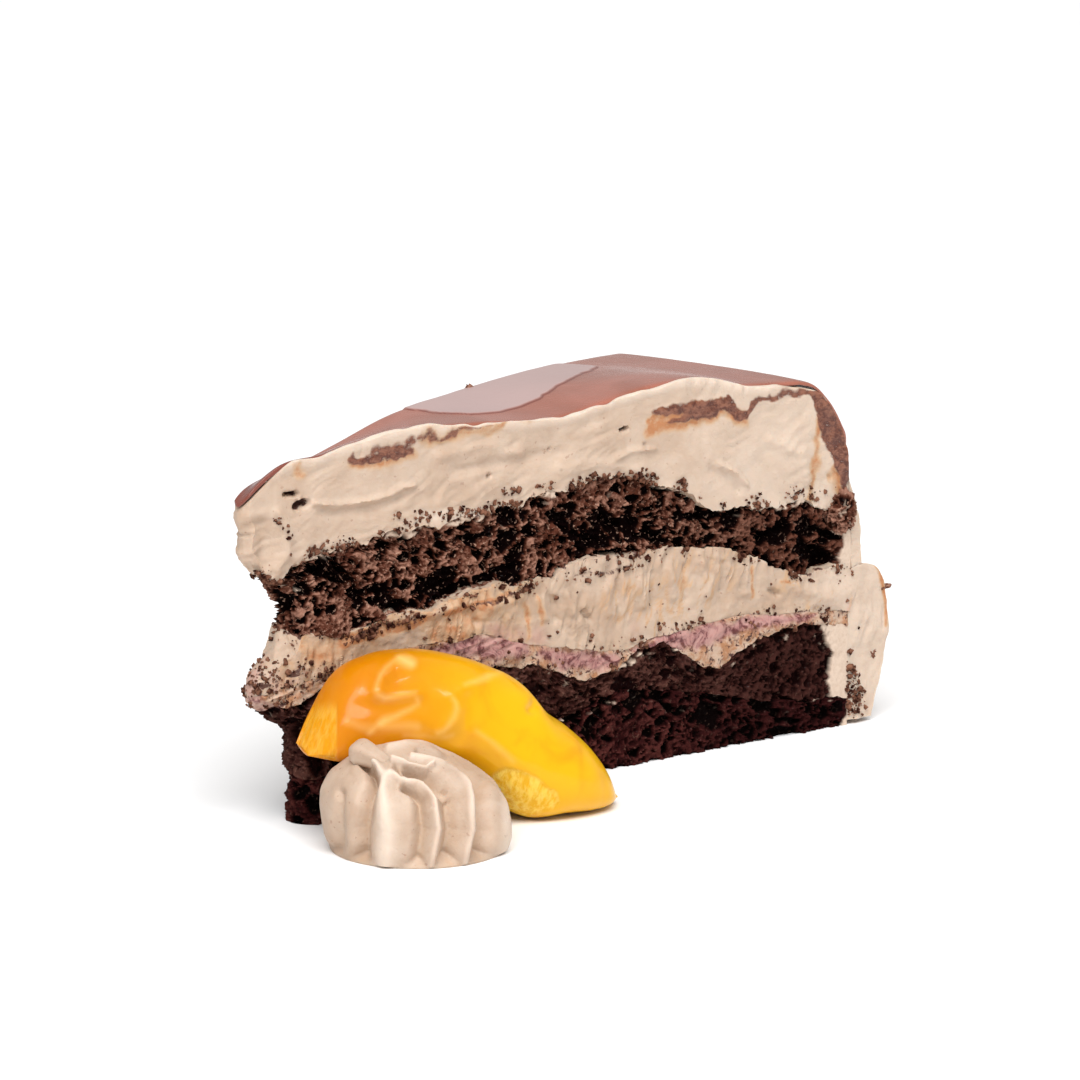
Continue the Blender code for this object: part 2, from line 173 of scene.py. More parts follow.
class Finish:
    """A material being made."""

    def __init__(self, name):
        self.material = bpy.data.materials.new(name)
        self.material.use_nodes = True
        self.tree = self.material.node_tree
        self.shader = self.tree.nodes["Principled BSDF"]
        self.place = self.node("TexCoord", out="Object")

    def node(self, kind, settings=None, sockets=None, out=0):
        """Makes a node, sets its settings and then its sockets, and returns one of its outputs."""
        made = self.tree.nodes.new("ShaderNode" + kind)
        for key, value in (settings or {}).items():
            setattr(made, key, value)
        for key, value in (sockets or {}).items():
            self.feed(made.inputs[key], value)
        return Number(self, made.outputs[out])

    def feed(self, socket, value):
        """Links a socket to another node's output, or gives it a constant."""
        if isinstance(value, Number):
            self.tree.links.new(value.socket, socket)
        elif isinstance(value, tuple) and len(value) == 3 and socket.type == "RGBA":
            socket.default_value = (*value, 1)
        else:
            socket.default_value = value

    def attribute(self, name):
        """A number stored on each point of the mesh."""
        return self.node("Attribute", {"attribute_name": name}, out="Fac")

    def stretched(self, turn, scale):
        """Object coordinates turned and scaled, for a pattern that is longer one way."""
        return self.node("Mapping", {"vector_type": "TEXTURE"},
                         {"Vector": self.place, "Rotation": turn, "Scale": scale})

    def noise(self, size, detail=3.0, roughness=0.55, distortion=0.0, place=None):
        """Cloudy noise from 0 to 1 whose patches are about size metres wide."""
        return self.node("TexNoise", {}, {
            "Vector": place or self.place, "Scale": 1 / size, "Detail": detail,
            "Roughness": roughness, "Distortion": distortion,
        })

    def mix(self, share, first, second):
        """The first colour at share 0 and the second at 1."""
        return self.node("Mix", {"data_type": "RGBA"}, {0: share, 6: first, 7: second}, out=2)

    def painted(self, body, *coats):
        """The colour body after each coat, a pair of a share and a colour, is laid over the ones before."""
        for share, colour in coats:
            body = self.mix(share, body, colour)
        return body

    def bump(self, height, distance):
        """The normal of a surface raised by height, from 0 to 1, times distance in metres."""
        return self.node("Bump", {}, {"Height": height, "Distance": distance, "Strength": 1.0}, out="Normal")

    def set(self, **sockets):
        """Gives the shader's sockets their constants or links: words are joined by _ for spaces."""
        for key, value in sockets.items():
            self.feed(self.shader.inputs[key.replace("_", " ")], value)
        return self.material


# %% The floor
FLOOR_HALF = 30.0
WHITE = (0.93, 0.93, 0.93)

floor_mesh = bpy.data.meshes.new("floor")
corners = [(x * FLOOR_HALF, y * FLOOR_HALF, 0) for x, y in ((-1, -1), (1, -1), (1, 1), (-1, 1))]
floor_mesh.from_pydata(corners, [], [(0, 1, 2, 3)])
floor = bpy.data.objects.new("floor", floor_mesh)
scene.collection.objects.link(floor)
floor_mesh.materials.append(Finish("white_table").set(Base_Color=WHITE, Roughness=0.6))

# %% [markdown]
# ## Uneven by numbers
#
# Sponge, cream and crumbs are uneven at every scale. Three fields give that: cloudy noise, which is random
# values on a lattice blended smoothly, bubbles, which are balls at random places that a knife cut open, and
# a honeycomb, whose cells share thin walls as the pores of baked crumb do. Each is worked out for all points
# of a mesh at once.

# %% Noise, bubbles and honeycombs
# Large odd numbers that mix the bits of a cell's place, so that neighbouring cells have nothing in common
MIX_X, MIX_Y, MIX_Z, MIX_SEED = 73856093, 19349663, 83492791, 7919
MIX_AGAIN, MIX_LAST = 1274126177, 1103515245
LOW_BITS, NUMBER_BITS = 0xFFFFFFFF, 0xFFFFFF
OCTAVE_SHIFT = 17.3


def scattered(cells, seed):
    """A random number from 0 to 1 for each lattice cell, always the same for the same cell and seed."""
    mixed = cells[..., 0] * MIX_X ^ cells[..., 1] * MIX_Y ^ cells[..., 2] * MIX_Z ^ seed * MIX_SEED
    mixed = ((mixed & LOW_BITS) ^ ((mixed & LOW_BITS) >> 15)) * MIX_AGAIN & LOW_BITS
    mixed = (mixed ^ (mixed >> 13)) * MIX_LAST & LOW_BITS
    return ((mixed ^ (mixed >> 16)) & NUMBER_BITS) / NUMBER_BITS


def cloudy(points, size, seed, octaves=1, gain=0.5):
    """Noise from -1 to 1: eight random lattice values blended smoothly, then finer copies added."""
    total, share, weight = 0, 1.0, 0
    for octave in range(octaves):
        place = points * (2 ** octave / size) + OCTAVE_SHIFT * octave
        cell = np.floor(place).astype(np.int64)
        part = place - cell
        part = part * part * (3 - 2 * part)
        value = 0
        for corner in np.ndindex(2, 2, 2):
            near = np.prod(np.where(corner, part, 1 - part), axis=-1)
            value = value + near * scattered(cell + corner, seed + octave)
        total, weight, share = total + share * (2 * value - 1), weight + share, share * gain
    return total / weight


def neighbours(place, seed):
    """The 27 lattice cells around each place, one after the other, each with a random point in it."""
    cell = np.floor(place).astype(np.int64)
    for offset in np.ndindex(3, 3, 3):
        home = cell + np.array(offset) - 1
        yield home, home + np.stack([scattered(home, seed + k) for k in (1, 2, 3)], -1)


def bubbles(points, outward, size, smallest, largest, seed):
    """How deep below each point the wall of an opened bubble lies.

    Each cube of edge size holds one ball at a random place with a random radius. Where a point is inside a
    ball, the depth is the way from the point against the outward normal to the far side of the ball.
    """
    place = points / size
    deepest = np.zeros(len(points))
    for home, centre in neighbours(place, seed):
        radius = smallest + (largest - smallest) * scattered(home, seed + 4) ** 2
        away = place - centre
        rise = np.einsum("ij,ij->i", away, outward)
        room = radius ** 2 - np.einsum("ij,ij->i", away, away) + rise ** 2
        inside = (room > 0) & (np.abs(rise) < radius)
        deepest = np.maximum(deepest, np.where(inside, rise + np.sqrt(np.maximum(room, 0)), 0))
    return deepest * size


def honeycomb(points, size, seed):
    """How far each point is from the wall of its cell, in cell sizes, and a random number for that cell.

    Each cube of the lattice holds one seed point. The wall lies where the nearest and the second nearest
    seed points are equally far, so the difference of the two distances is 0 on it.
    """
    place = points / size
    nearest, second, own = np.full(len(points), 9.0), np.full(len(points), 9.0), np.zeros(len(points))
    for home, centre in neighbours(place, seed):
        distance = np.linalg.norm(place - centre, axis=1)
        closer = distance < nearest
        second = np.where(closer, nearest, np.minimum(second, distance))
        own = np.where(closer, scattered(home, seed + 4), own)
        nearest = np.minimum(nearest, distance)
    return second - nearest, own


def step(value, low, high):
    """A soft step from 0 to 1 while the value goes from low to high, or back if low is the larger."""
    share = np.clip((value - low) / (high - low), 0, 1)
    return share * share * (3 - 2 * share)


def between(low, high, share):
    """The value at a share of the way from low to high."""
    return low + (high - low) * share


# %% [markdown]
# ## The shape of the wedge
#
# The slice is a piece of a round cake, so its points are given by their distance from the cake's middle and
# their place across, from -1 at the front cut to 1 at the back cut. The boundaries between the layers are
# the curves of the CAD model. Here they also get ragged, because crumbs never end on a line. Both neighbours
# of a boundary use the same ragged line, so no gap opens.

# %% The slice's sizes and its two kinds of coordinates
CAKE_RADIUS = 141 * MM
HALF_ANGLE = np.radians(10.25)
APEX_X = -92 * MM
TIP_HALF_WIDTH = 1.5 * MM
TIP_ROUNDING = 0.6
CREAM_TIP_LOW, CREAM_TIP_HIGH = 48 * MM, 60 * MM
GAP = 0.02 * MM
SHOULDER_START = 129 * MM
MIDDLE_SPONGE_RADIUS = 139.5 * MM
SPONGE_LUMP, SPONGE_LUMP_WIDTH = 2.0 * MM, 0.25
COAT_GAP = 0.02 * MM
COAT_LIP_RADIUS = 144.5 * MM
COAT_FOOT = 1.0 * MM

CUT_OUTWARD = np.array([-np.sin(HALF_ANGLE), -np.cos(HALF_ANGLE), 0])
CUT_ALONG = np.array([np.cos(HALF_ANGLE), -np.sin(HALF_ANGLE), 0])


def on_slice(radius, across):
    """The place of a point from its distance to the cake's middle and its place across the slice."""
    angle = across * HALF_ANGLE
    return APEX_X + radius * np.cos(angle), radius * np.sin(angle) + TIP_HALF_WIDTH * across


def polar(x, y):
    """Distance from the cake's middle, and place across the slice from -1 in front to 1 behind."""
    radius = np.hypot(x - APEX_X, y)
    return radius, np.clip(y / (TIP_HALF_WIDTH + radius * np.sin(HALF_ANGLE)), -1, 1)


def along_cut(points):
    """How far along the front cut each point is, in millimetres from the cake's middle."""
    return (points - np.array([APEX_X, -TIP_HALF_WIDTH, 0])) @ CUT_ALONG / MM


# %% Curves and boundaries


def curve(points):
    """A smooth curve through (place, value) points in millimetres, level beyond its ends.

    Between two points it is a cubic whose slopes at the ends are those of the neighbouring chords.
    """
    place, value = (np.array(points, float) * MM).T
    slope = np.gradient(value, place)

    def at(x):
        x = np.clip(x, place[0], place[-1])
        i = np.clip(np.searchsorted(place, x) - 1, 0, len(place) - 2)
        span = place[i + 1] - place[i]
        t = (x - place[i]) / span
        start = (1 + 2 * t) * (1 - t) ** 2 * value[i] + t * (1 - t) ** 2 * span * slope[i]
        end = t * t * (3 - 2 * t) * value[i + 1] + t * t * (t - 1) * span * slope[i + 1]
        return start + end

    return at


def boundary(front, back, ragged=0.0, size=5 * MM, seed=0):
    """The height of the boundary between two layers.

    One curve at each cut face is blended across, and noise of the given height makes it ragged.
    """
    in_front, behind = curve(front), curve(back)

    def height(x, y):
        radius, across = polar(x, y)
        share = step(across, -1, 1)
        rough = ragged * cloudy(np.stack([x, y, 0 * x], -1), size, seed, 4, 0.65) if ragged else 0
        return between(in_front(radius), behind(radius), share) + rough

    return height


def ground(x, y):
    """The flat underside."""
    return np.zeros_like(x)


soaked_sponge_bottom = boundary(
    [(8, 8), (40, 10), (72, 11.6), (86, 14.8), (97, 13.3), (120, 8.4), (134, 6.5), (141, 5.6)],
    [(8, 9), (50, 10.5), (95, 10), (141, 8)],
    1.2 * MM, 6 * MM, 11,
)
berry_cream_bottom = boundary(
    [(2, 21.5), (16, 24.3), (45, 27.6), (57, 23.8), (68, 22.2), (76, 18.6), (83, 18.6), (90, 21.8),
     (97, 22.2), (103, 18.6), (109, 16.4), (118, 20.2), (125, 21.6), (134, 20.6), (141, 20)],
    [(2, 21.5), (30, 22.5), (70, 20), (110, 21), (141, 19.5)],
    1.6 * MM, 4 * MM, 21,
)
berry_cream_top = boundary(
    [(2, 25.5), (21, 27.9), (31, 30), (45, 29.8), (55, 29.7), (63, 27.4), (74, 24.8), (86, 22.8),
     (96, 24.2), (104, 24.9), (117, 25.1), (133, 23.6), (141, 22.6)],
    [(2, 25.5), (30, 26.5), (70, 23.6), (110, 24.4), (141, 22.5)],
    0.9 * MM, 5 * MM, 31,
)
middle_sponge_bottom = boundary(
    [(4, 38.4), (8, 37), (14, 35.8), (21, 34.6), (32, 36.6), (41, 37.2), (53, 38.7), (67, 39), (77, 40.8),
     (96, 40.4), (105, 39.9), (114, 37.4), (120, 34.6), (129, 31.6), (141, 31.6)],
    [(4, 38), (25, 36), (60, 38), (100, 37.5), (141, 33)],
    1.8 * MM, 4 * MM, 41,
)
middle_sponge_top = boundary(
    [(0, 48), (4, 47.4), (7, 46.6), (11, 48), (20, 50.3), (29, 51.2), (40, 52), (53, 52.7), (64, 54.4),
     (81, 55.7), (86, 55.4), (92, 53.5), (101, 51.2), (106, 47.6), (119, 45.8), (130, 45.5), (137, 43.4),
     (141, 42.8)],
    [(0, 48), (10, 48), (35, 50.5), (70, 52), (105, 49.5), (141, 45)],
    2.4 * MM, 3.5 * MM, 51,
)
cream_top = boundary(
    [(0, 58.8), (4.5, 62.8), (9, 65.6), (19, 66.8), (26, 68.1), (38, 69.1), (53, 68.6), (71, 67.4),
     (84, 69.4), (94, 70.8), (107, 70.6), (115, 68.6), (122, 68), (129, 67.6)],
    [(0, 58.8), (5, 61.4), (11, 62.6), (23, 63.6), (33, 65), (49, 67.5), (72, 68.4), (110, 68.3),
     (129, 67.2)],
)
tip_middle = curve(
    [(0, 14.2), (12, 14.1), (16, 13.8), (19, 9.4), (23, 5.1), (26, 3.4), (28, 4.1), (32, 8.6), (36, 10.7),
     (43, 10.5), (47, 6.6), (52, 1.9), (55, 2.4), (58, 1.2), (60, 1.6), (64, 5.6)]
)


def tip_reach(height, across):
    """The distance of the tip from the cake's middle: rounded back towards both cut faces."""
    middle = tip_middle(height)
    return middle + TIP_ROUNDING * (TIP_HALF_WIDTH + middle * np.sin(HALF_ANGLE)) * across ** 2


# %% The outer edge: the shoulder under the glaze, the coat below it, and the glaze's drips
shoulder_radius = curve(
    [(0, 129), (80, 132.5), (170, 135.5), (300, 138.6), (420, 140.2), (540, 140.7), (680, 142.6),
     (820, 143.8), (1000, 144.1)]
)
shoulder_height = curve(
    [(0, 1000), (80, 968), (170, 890), (300, 755), (420, 630), (540, 500), (680, 350), (820, 200), (1000, 0)]
)
coat_radius = curve(
    [(0, 144.5), (70, 147), (170, 149.2), (300, 150.4), (500, 150.5), (670, 149.9), (830, 148.6),
     (1000, 146.9)]
)
coat_height = curve(
    [(0, 1000), (70, 975), (170, 880), (300, 730), (500, 510), (670, 330), (830, 165), (1000, 0)]
)
glaze_drips = curve(
    [(-1000, 330), (-850, 540), (-680, 480), (-500, 280), (-300, 250), (-120, 390), (50, 520), (220, 430),
     (400, 250), (600, 300), (780, 480), (920, 400), (1000, 300)]
)


def shoulder(down, across):
    """Radius and height of the top cream's outer side at a share of the way down."""
    seam = middle_sponge_bottom(*on_slice(COAT_LIP_RADIUS, across)) + GAP / 2
    brow = cream_top(*on_slice(SHOULDER_START, across))
    return shoulder_radius(down), between(seam, brow, shoulder_height(down))


# %% [markdown]
# ## A layer as a bent box
#
# Each layer is a box of points that is bent into place: along from tip to rim, up through its thickness, and
# across from cut to cut. Only its six outer sides become faces, and they share their edges, so the mesh is
# closed. A cube with modifiers could be bent too, but here every point's place is one formula, and the grid
# can be fine on the cut faces and coarse inside the cake.

# %% Boxes of points and their meshes


def spread(count, crowding=1.0):
    """Places from -1 to 1, crowded towards both ends when crowding is above 1."""
    even = np.linspace(-1, 1, count + 1)
    return np.sign(even) * (1 - (1 - np.abs(even)) ** crowding)


def shell(along, up, across):
    """The outer points of a box with these places along its edges, and the faces between them."""
    shape = (len(along), len(up), len(across))
    i, j, k = np.indices(shape)
    outer = (i % (shape[0] - 1) == 0) | (j % (shape[1] - 1) == 0) | (k % (shape[2] - 1) == 0)
    number = np.full(shape, -1)
    number[outer] = np.arange(outer.sum())
    sides = {
        "top": number[:, -1, :], "bottom": number[:, 0, :].T,
        "front": number[:, :, 0], "back": number[:, :, -1].T,
        "rim": number[-1, :, :].T, "tip": number[0, :, :],
    }
    faces = {
        name: np.stack([s[:-1, :-1], s[1:, :-1], s[1:, 1:], s[:-1, 1:]], -1).reshape(-1, 4)
        for name, s in sides.items()
    }
    return along[i[outer]], up[j[outer]], across[k[outer]], faces


def normals_of(points, faces):
    """A unit normal for each point: the sum of the normals of the faces around it."""
    corner = points[faces]
    face = np.cross(corner[:, 2] - corner[:, 0], corner[:, 3] - corner[:, 1])
    total = np.stack([
        np.bincount(faces.ravel(), np.repeat(face[:, axis], faces.shape[1]), len(points))
        for axis in range(3)
    ], -1)
    return total / np.maximum(np.linalg.norm(total, axis=1), 1e-12)[:, None]


def as_object(name, points, face_groups, finish, attributes=None, sharp=None):
    """A mesh object from points and groups of faces, each group an array with one face a row."""
    mesh = bpy.data.meshes.new(name)
    corners = np.concatenate([group.ravel() for group in face_groups])
    sizes = np.concatenate([np.full(len(group), group.shape[1]) for group in face_groups])
    mesh.vertices.add(len(points))
    mesh.vertices.foreach_set("co", points.astype(np.float32).ravel())
    mesh.loops.add(len(corners))
    mesh.loops.foreach_set("vertex_index", corners.astype(np.int32))
    mesh.polygons.add(len(sizes))
    mesh.polygons.foreach_set("loop_start", np.concatenate([[0], np.cumsum(sizes)[:-1]]).astype(np.int32))
    mesh.polygons.foreach_set("use_smooth", np.ones(len(sizes), bool))
    mesh.update(calc_edges=True)
    for key, values in (attributes or {}).items():
        mesh.attributes.new(key, "FLOAT", "POINT").data.foreach_set("value", values.astype(np.float32))
    if sharp:
        mesh.set_sharp_from_angle(angle=np.radians(sharp))
    mesh.materials.append(finish)
    made = bpy.data.objects.new(name, mesh)
    scene.collection.objects.link(made)
    print(name, "triangles", int((sizes - 2).sum()))
    return made


def stand_for(piece, slot, *nodes):
    """The piece rides on the slice and hides the CAD nodes named. The slot is not used."""
    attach(piece, "root")
    if nodes:
        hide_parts(*nodes)


# %% Strokes and spots on the cut face


def along_path(a, b, path):
    """The distance of each point (a, b) to a path of (place, place, width), and the path's width there."""
    path = np.array(path, float)
    distance, width = np.full_like(a, 1e6), np.ones_like(a)
    for (a0, b0, w0), (a1, b1, w1) in zip(path[:-1], path[1:]):
        length = max((a1 - a0) ** 2 + (b1 - b0) ** 2, 1e-6)
        t = np.clip(((a - a0) * (a1 - a0) + (b - b0) * (b1 - b0)) / length, 0, 1)
        gap = np.hypot(a - between(a0, a1, t), b - between(b0, b1, t))
        width = np.where(gap < distance, between(w0, w1, t), width)
        distance = np.minimum(distance, gap)
    return distance, width


def stroke(a, b, path, soft=0.5):
    """How much each point lies on a smear: 1 within the path's half width, 0 beyond, with a soft edge."""
    distance, width = along_path(a, b, path)
    return step(distance - width, soft, -soft)


def ridge(a, b, path):
    """A rounded ridge along the path, 1 at its crest, that fades like a bell curve of the path's width."""
    distance, width = along_path(a, b, path)
    return np.exp(-((distance / width) ** 2))


def smeared(a, b, paths, soft):
    """How much each point lies on any of the smears, from 0 to 1."""
    return np.clip(sum(stroke(a, b, path, soft) for path in paths), 0, 1)


def folded(a, b, folds):
    """Ridges and valleys added up, in the unit of their heights: folds are pairs of a height and a path."""
    return sum(height * ridge(a, b, path) for height, path in folds)


def wandering(points, amount, size, seed):
    """Along and height of each point in millimetres, pushed about by noise so that outlines are uneven."""
    s = along_cut(points) + amount * cloudy(points, size, seed, 3, 0.6)
    return s, points[:, 2] / MM + amount * cloudy(points, size, seed + 50, 3, 0.6)


# %% [markdown]
# ## Sponge
#
# The middle sponge was torn rather than cut. Its face is craggy, full of opened pores of three sizes, and
# almost black inside them. Baked crumb is a foam, so its pores share thin walls. A honeycomb of warped cells
# gives that better than round holes do. Bump alone would look printed on, so the pores are cut into the
# mesh. Their depth is stored on the points, and the material darkens with it: painted shade in the pores.

# %% The sponge's relief
SMALL_PORE, MEDIUM_PORE, LARGE_PORE = 1.25 * MM, 2.4 * MM, 5.0 * MM
MEDIUM_DEPTH, LARGE_DEPTH = 2.2, 3.8
PORE_STRETCH = (1, 1, 1.2)
WARP, WARP_SIZE = 0.55 * MM, 1.6 * MM
CRUMB_HEIGHT, CRUMB_SIZE, CRAG_SIZE = 0.6, 1.2 * MM, 6 * MM


def sponge_relief(points, seed, crag, openness, deepest):
    """How far each point of a torn face moves out or in, and how deep in a pore it lies.

    Three honeycombs of warped cells are opened: every small cell, about half of the medium ones and a few
    large ones. Their walls stay up as a fine net, which crags and crumbs of noise push out and in.
    """
    warp = np.stack([cloudy(points, WARP_SIZE, seed + 60 + k, 3, 0.6) for k in range(3)], -1) * WARP
    bent = (points + warp) * PORE_STRETCH
    small_wall, small_own = honeycomb(bent, SMALL_PORE, seed)
    medium_wall, medium_own = honeycomb(bent, MEDIUM_PORE, seed + 7)
    large_wall, large_own = honeycomb(bent, LARGE_PORE, seed + 14)
    small = (0.3 + 0.8 * small_own) * step(small_wall, 0.04, 0.30)
    medium = MEDIUM_DEPTH * step(medium_own, 0.62 - 0.4 * openness, 0.9) * step(medium_wall, 0.03, 0.26)
    large = LARGE_DEPTH * step(large_own, 0.94 - 0.35 * openness, 0.98) * step(large_wall, 0.04, 0.25)
    pore = deepest * np.tanh((small + medium + large) / deepest)
    crumbs = CRUMB_HEIGHT * cloudy(points, CRUMB_SIZE, seed + 31, 3, 0.65)
    crags = crag * cloudy(points, CRAG_SIZE, seed + 21, 2)
    return (crags + crumbs - pore) * MM, np.clip(pore - 0.8 * crumbs, 0, 3)


def moved(points, direction, distance):
    """Points moved by a distance each along a direction."""
    return points + direction * distance[:, None]


def sideways(points, faces, sides=("front", "back", "tip", "rim")):
    """Level outward directions of the points on those sides of a layer, and a mask of those points."""
    used = np.concatenate([faces[name] for name in sides])
    outward = normals_of(points, used) * (1, 1, 0)
    length = np.linalg.norm(outward, axis=1)
    on_side = np.zeros(len(points))
    on_side[np.unique(used)] = 1
    return outward / np.maximum(length, 1e-9)[:, None], on_side * (length > 1e-6)


# %% The sponge's finish
# Three tones of each sponge, darker the deeper they lie as painted shade: the crust on the net of walls, the
# walls' slopes, and the bottoms of the pores
MIDDLE_TONES = (0.31, 0.155, 0.108), (0.085, 0.026, 0.015), (0.003, 0.0005, 0.0005)
SOAKED_TONES = (0.085, 0.034, 0.026), (0.034, 0.010, 0.008), (0.006, 0.001, 0.001)
BASE_TONES = (0.070, 0.018, 0.015), (0.022, 0.004, 0.004), (0.002, 0.0005, 0.0005)
FLECK_TONE = (0.42, 0.25, 0.18)
DAB_SHADE, DAB_LIGHT = (0.52, 0.395, 0.305), (0.59, 0.465, 0.37)


def sponge_finish(name, tones, wet, flecks):
    """Dark crumb in three tones that grow darker as painted shade deep in the pores.

    It has wet glints, pale flecks and cream dabs.
    """
    finish = Finish(name)
    crust, wall, pore_bottom_shade = tones
    pore, dab, dusk = (finish.attribute(mark) for mark in ("pore", "dab", "dusk"))
    fine = finish.noise(0.8 * MM, 4, 0.7)
    patches = finish.noise(5 * MM, 2, 0.6)
    grain = finish.noise(0.3 * MM, 3, 0.6)
    outside = finish.mix((fine + patches - 0.5).smooth(0.32, 0.62), wall, crust)
    outside = finish.mix(dusk * 0.8, outside, wall)
    wall = finish.mix(dusk * 0.5, wall, pore_bottom_shade)
    # The deeper in a pore, the darker the colour: painted shade
    body = finish.mix((pore + (fine - 0.5) * 0.7).smooth(0.15, 0.7), outside, wall)
    body = finish.mix((pore + (fine - 0.5) * 0.6).smooth(0.45, 1.2), body, pore_bottom_shade)
    fleck = finish.noise(0.7 * MM, 2, 0.5, place=finish.stretched((0.3, 0.8, 0.2), (1.0, 1.0, 1.4)))
    body = finish.mix(fleck.smooth(0.62, 0.69, 0, flecks) * (1 - dusk * 0.6), body, FLECK_TONE)
    body = finish.mix(dab, body, finish.mix(fine.smooth(0.3, 0.6), DAB_SHADE, DAB_LIGHT))
    return finish.set(
        Base_Color=body, Roughness=0.9, Specular_IOR_Level=0.03,
        Coat_Roughness=0.2, Coat_Weight=grain.smooth(0.6, 0.72, 0, wet),
        Normal=finish.bump((grain * 0.4 + fine) * (1 - dab * 0.8), 0.35 * MM),
    )


middle_crumb = sponge_finish("chocolate_crumb", MIDDLE_TONES, wet=0.5, flecks=0.8)
soaked_crumb = sponge_finish("soaked_crumb", SOAKED_TONES, wet=0.35, flecks=0.15)
base_crumb = sponge_finish("base_crumb", BASE_TONES, wet=0.25, flecks=0.10)

# %% The sheets' edges and points


def plain_rim(across):
    """The outer edge of the layers that the coat covers."""
    return np.full_like(across, CAKE_RADIUS)


def middle_sponge_rim(across):
    """The middle sponge's outer edge, with the lump that pokes out beside the front cut."""
    return MIDDLE_SPONGE_RADIUS + SPONGE_LUMP * np.exp(-(((across + 1) / SPONGE_LUMP_WIDTH) ** 2))


def sheet_points(along, up, across, bottom, top, rim):
    """The points of one layer that runs from the tip to the rim between two boundaries."""
    x, y = on_slice(along * CAKE_RADIUS, across)
    tip = tip_reach(between(bottom(x, y), top(x, y), up), across)
    x, y = on_slice(between(tip, rim(across), along), across)
    low = bottom(x, y) + (0 if bottom is ground else GAP / 2)
    return np.stack([x, y, between(low, top(x, y) - GAP / 2, up)], -1)


# %% The three sponge sheets
# Cream dragged over the sponge's face: (along, height, half width) in millimetres on the front cut
MIDDLE_DABS = [
    [(14.5, 49.2, 0.4), (17, 50.0, 0.9), (20, 50.2, 1.1), (23, 50.9, 0.5)],
    [(31, 51.6, 0.5), (36, 50.8, 1.0), (41, 52.0, 0.6)],
    [(43, 53.4, 0.6), (48, 52.6, 1.3), (53, 52.8, 1.0), (58, 54.0, 0.5)],
    [(66, 55.2, 0.6), (71, 54.6, 0.8), (76, 55.8, 0.4)],
    [(94, 53.2, 0.6), (100, 51.6, 1.0), (104, 49.6, 0.8), (107, 47.8, 0.5)],
    [(118, 46.4, 0.6), (124, 45.6, 0.9), (130, 46.0, 0.5)],
    [(5, 44.5, 0.5), (9, 45.6, 0.5)],
    [(12, 43.6, 0.35), (14, 43.4, 0.5)],
]
SOAKED_DABS = [
    [(135.5, 22.0, 1.6), (138.0, 18.6, 2.4), (140.0, 16.0, 1.8)],
    [(3, 26.5, 0.8), (8, 25.0, 0.7), (14, 24.6, 0.5)],
    [(47, 27.2, 0.4), (52, 25.6, 0.6), (60, 23.4, 0.4)],
    [(84, 19.6, 0.5), (88, 20.6, 0.7), (93, 21.4, 0.4)],
]
# Big caves in the middle sponge, cut in and painted dark as shade, as the picture shows them: (right, down,
# half width) in pixels
MIDDLE_CAVES = [
    [(324, 573, 7), (342, 580, 8)], [(428, 586, 9), (450, 592, 9)], [(382, 604, 6), (400, 608, 7)],
    [(290, 599, 3), (301, 600, 3)], [(800, 545, 8), (828, 560, 9)], [(768, 536, 6), (784, 530, 6)],
    [(610, 520, 6), (624, 526, 6)], [(498, 572, 6), (516, 566, 6)], [(356, 592, 4), (364, 598, 4)],
    [(556, 516, 6), (566, 524, 6)], [(648, 536, 5), (664, 538, 5)], [(700, 512, 6), (716, 516, 6)],
    [(812, 566, 6), (830, 572, 6)], [(470, 540, 5), (484, 536, 5)], [(585, 545, 5), (600, 542, 5)],
]
CAVE_DEPTH, CAVE_PAINTED_SHADE, CAVE_BENDING = 1.6 * MM, 1.2, 9
SMEAR_DEPTH, DAB_HEIGHT = 0.6, 0.2 * MM
NEAR_CUT, AT_CUT = 0.98, 0.999
DUSK = (85, 125)


def sheet_box(steps):
    """The box of points of a sheet with those numbers of steps along, up and across."""
    along, up, across = steps
    return shell(np.linspace(0, 1, along + 1), np.linspace(0, 1, up + 1), spread(across))


def sponge_sheet(name, bottom, top, rim, steps, seed, finish, crag, openness, deepest, rim_cream, dabs=(),
                 caves=()):
    """One sheet of sponge: the bent box, with crags and pores on all the sides that were torn open.

    Cream lies on it in dabs, as smears under its upper edge, and from the radius rim_cream outwards.
    """
    along, up, across, faces = sheet_box(steps)
    points = sheet_points(along, up, across, bottom, top, rim)
    outward, on_side = sideways(points, faces, ("front", "back", "tip"))
    on_front = across < -NEAR_CUT
    relief, pore = sponge_relief(points, seed, crag, openness, deepest)
    right, down = in_picture(points)
    right = right + CAVE_BENDING * cloudy(points, 2.5 * MM, seed + 40, 3, 0.6)
    down = down + CAVE_BENDING * cloudy(points, 2.5 * MM, seed + 44, 3, 0.6)
    cave = smeared(right, down, caves, 2.5) * on_front
    # The caves are also marked deeper, so the finish paints them darker: painted shade
    relief, pore = relief - CAVE_DEPTH * cave, pore + CAVE_PAINTED_SHADE * cave
    s, z = wandering(points, 1.2, 2.5 * MM, seed + 90)
    dab = smeared(s, z, dabs, 0.25) * on_front * step(cloudy(points, 1.2 * MM, seed + 95, 2), -0.3, 0.1)
    smear = step(cloudy(points, 1.6 * MM, seed + 96, 3), 0.42, 0.62) * step(up, SMEAR_DEPTH, 1.0)
    radius = polar(points[:, 0], points[:, 1])[0] / MM
    over_rim = step(radius + 2.6 * cloudy(points, 3 * MM, seed + 97, 3, 0.6), rim_cream, rim_cream + 0.6)
    dab = np.maximum(np.maximum(dab, smear * on_side), over_rim * (np.abs(across) > NEAR_CUT))
    relief = relief * (1 - 0.85 * dab) + DAB_HEIGHT * dab
    relief = relief * step(CAKE_RADIUS / MM - radius, 0.2, 2.5)
    points = moved(points, outward, relief * on_side)
    marks = {"pore": pore * on_side * (1 - dab), "dab": dab, "dusk": step(along_cut(points), *DUSK)}
    return as_object(name, points, list(faces.values()), finish, marks, 70)


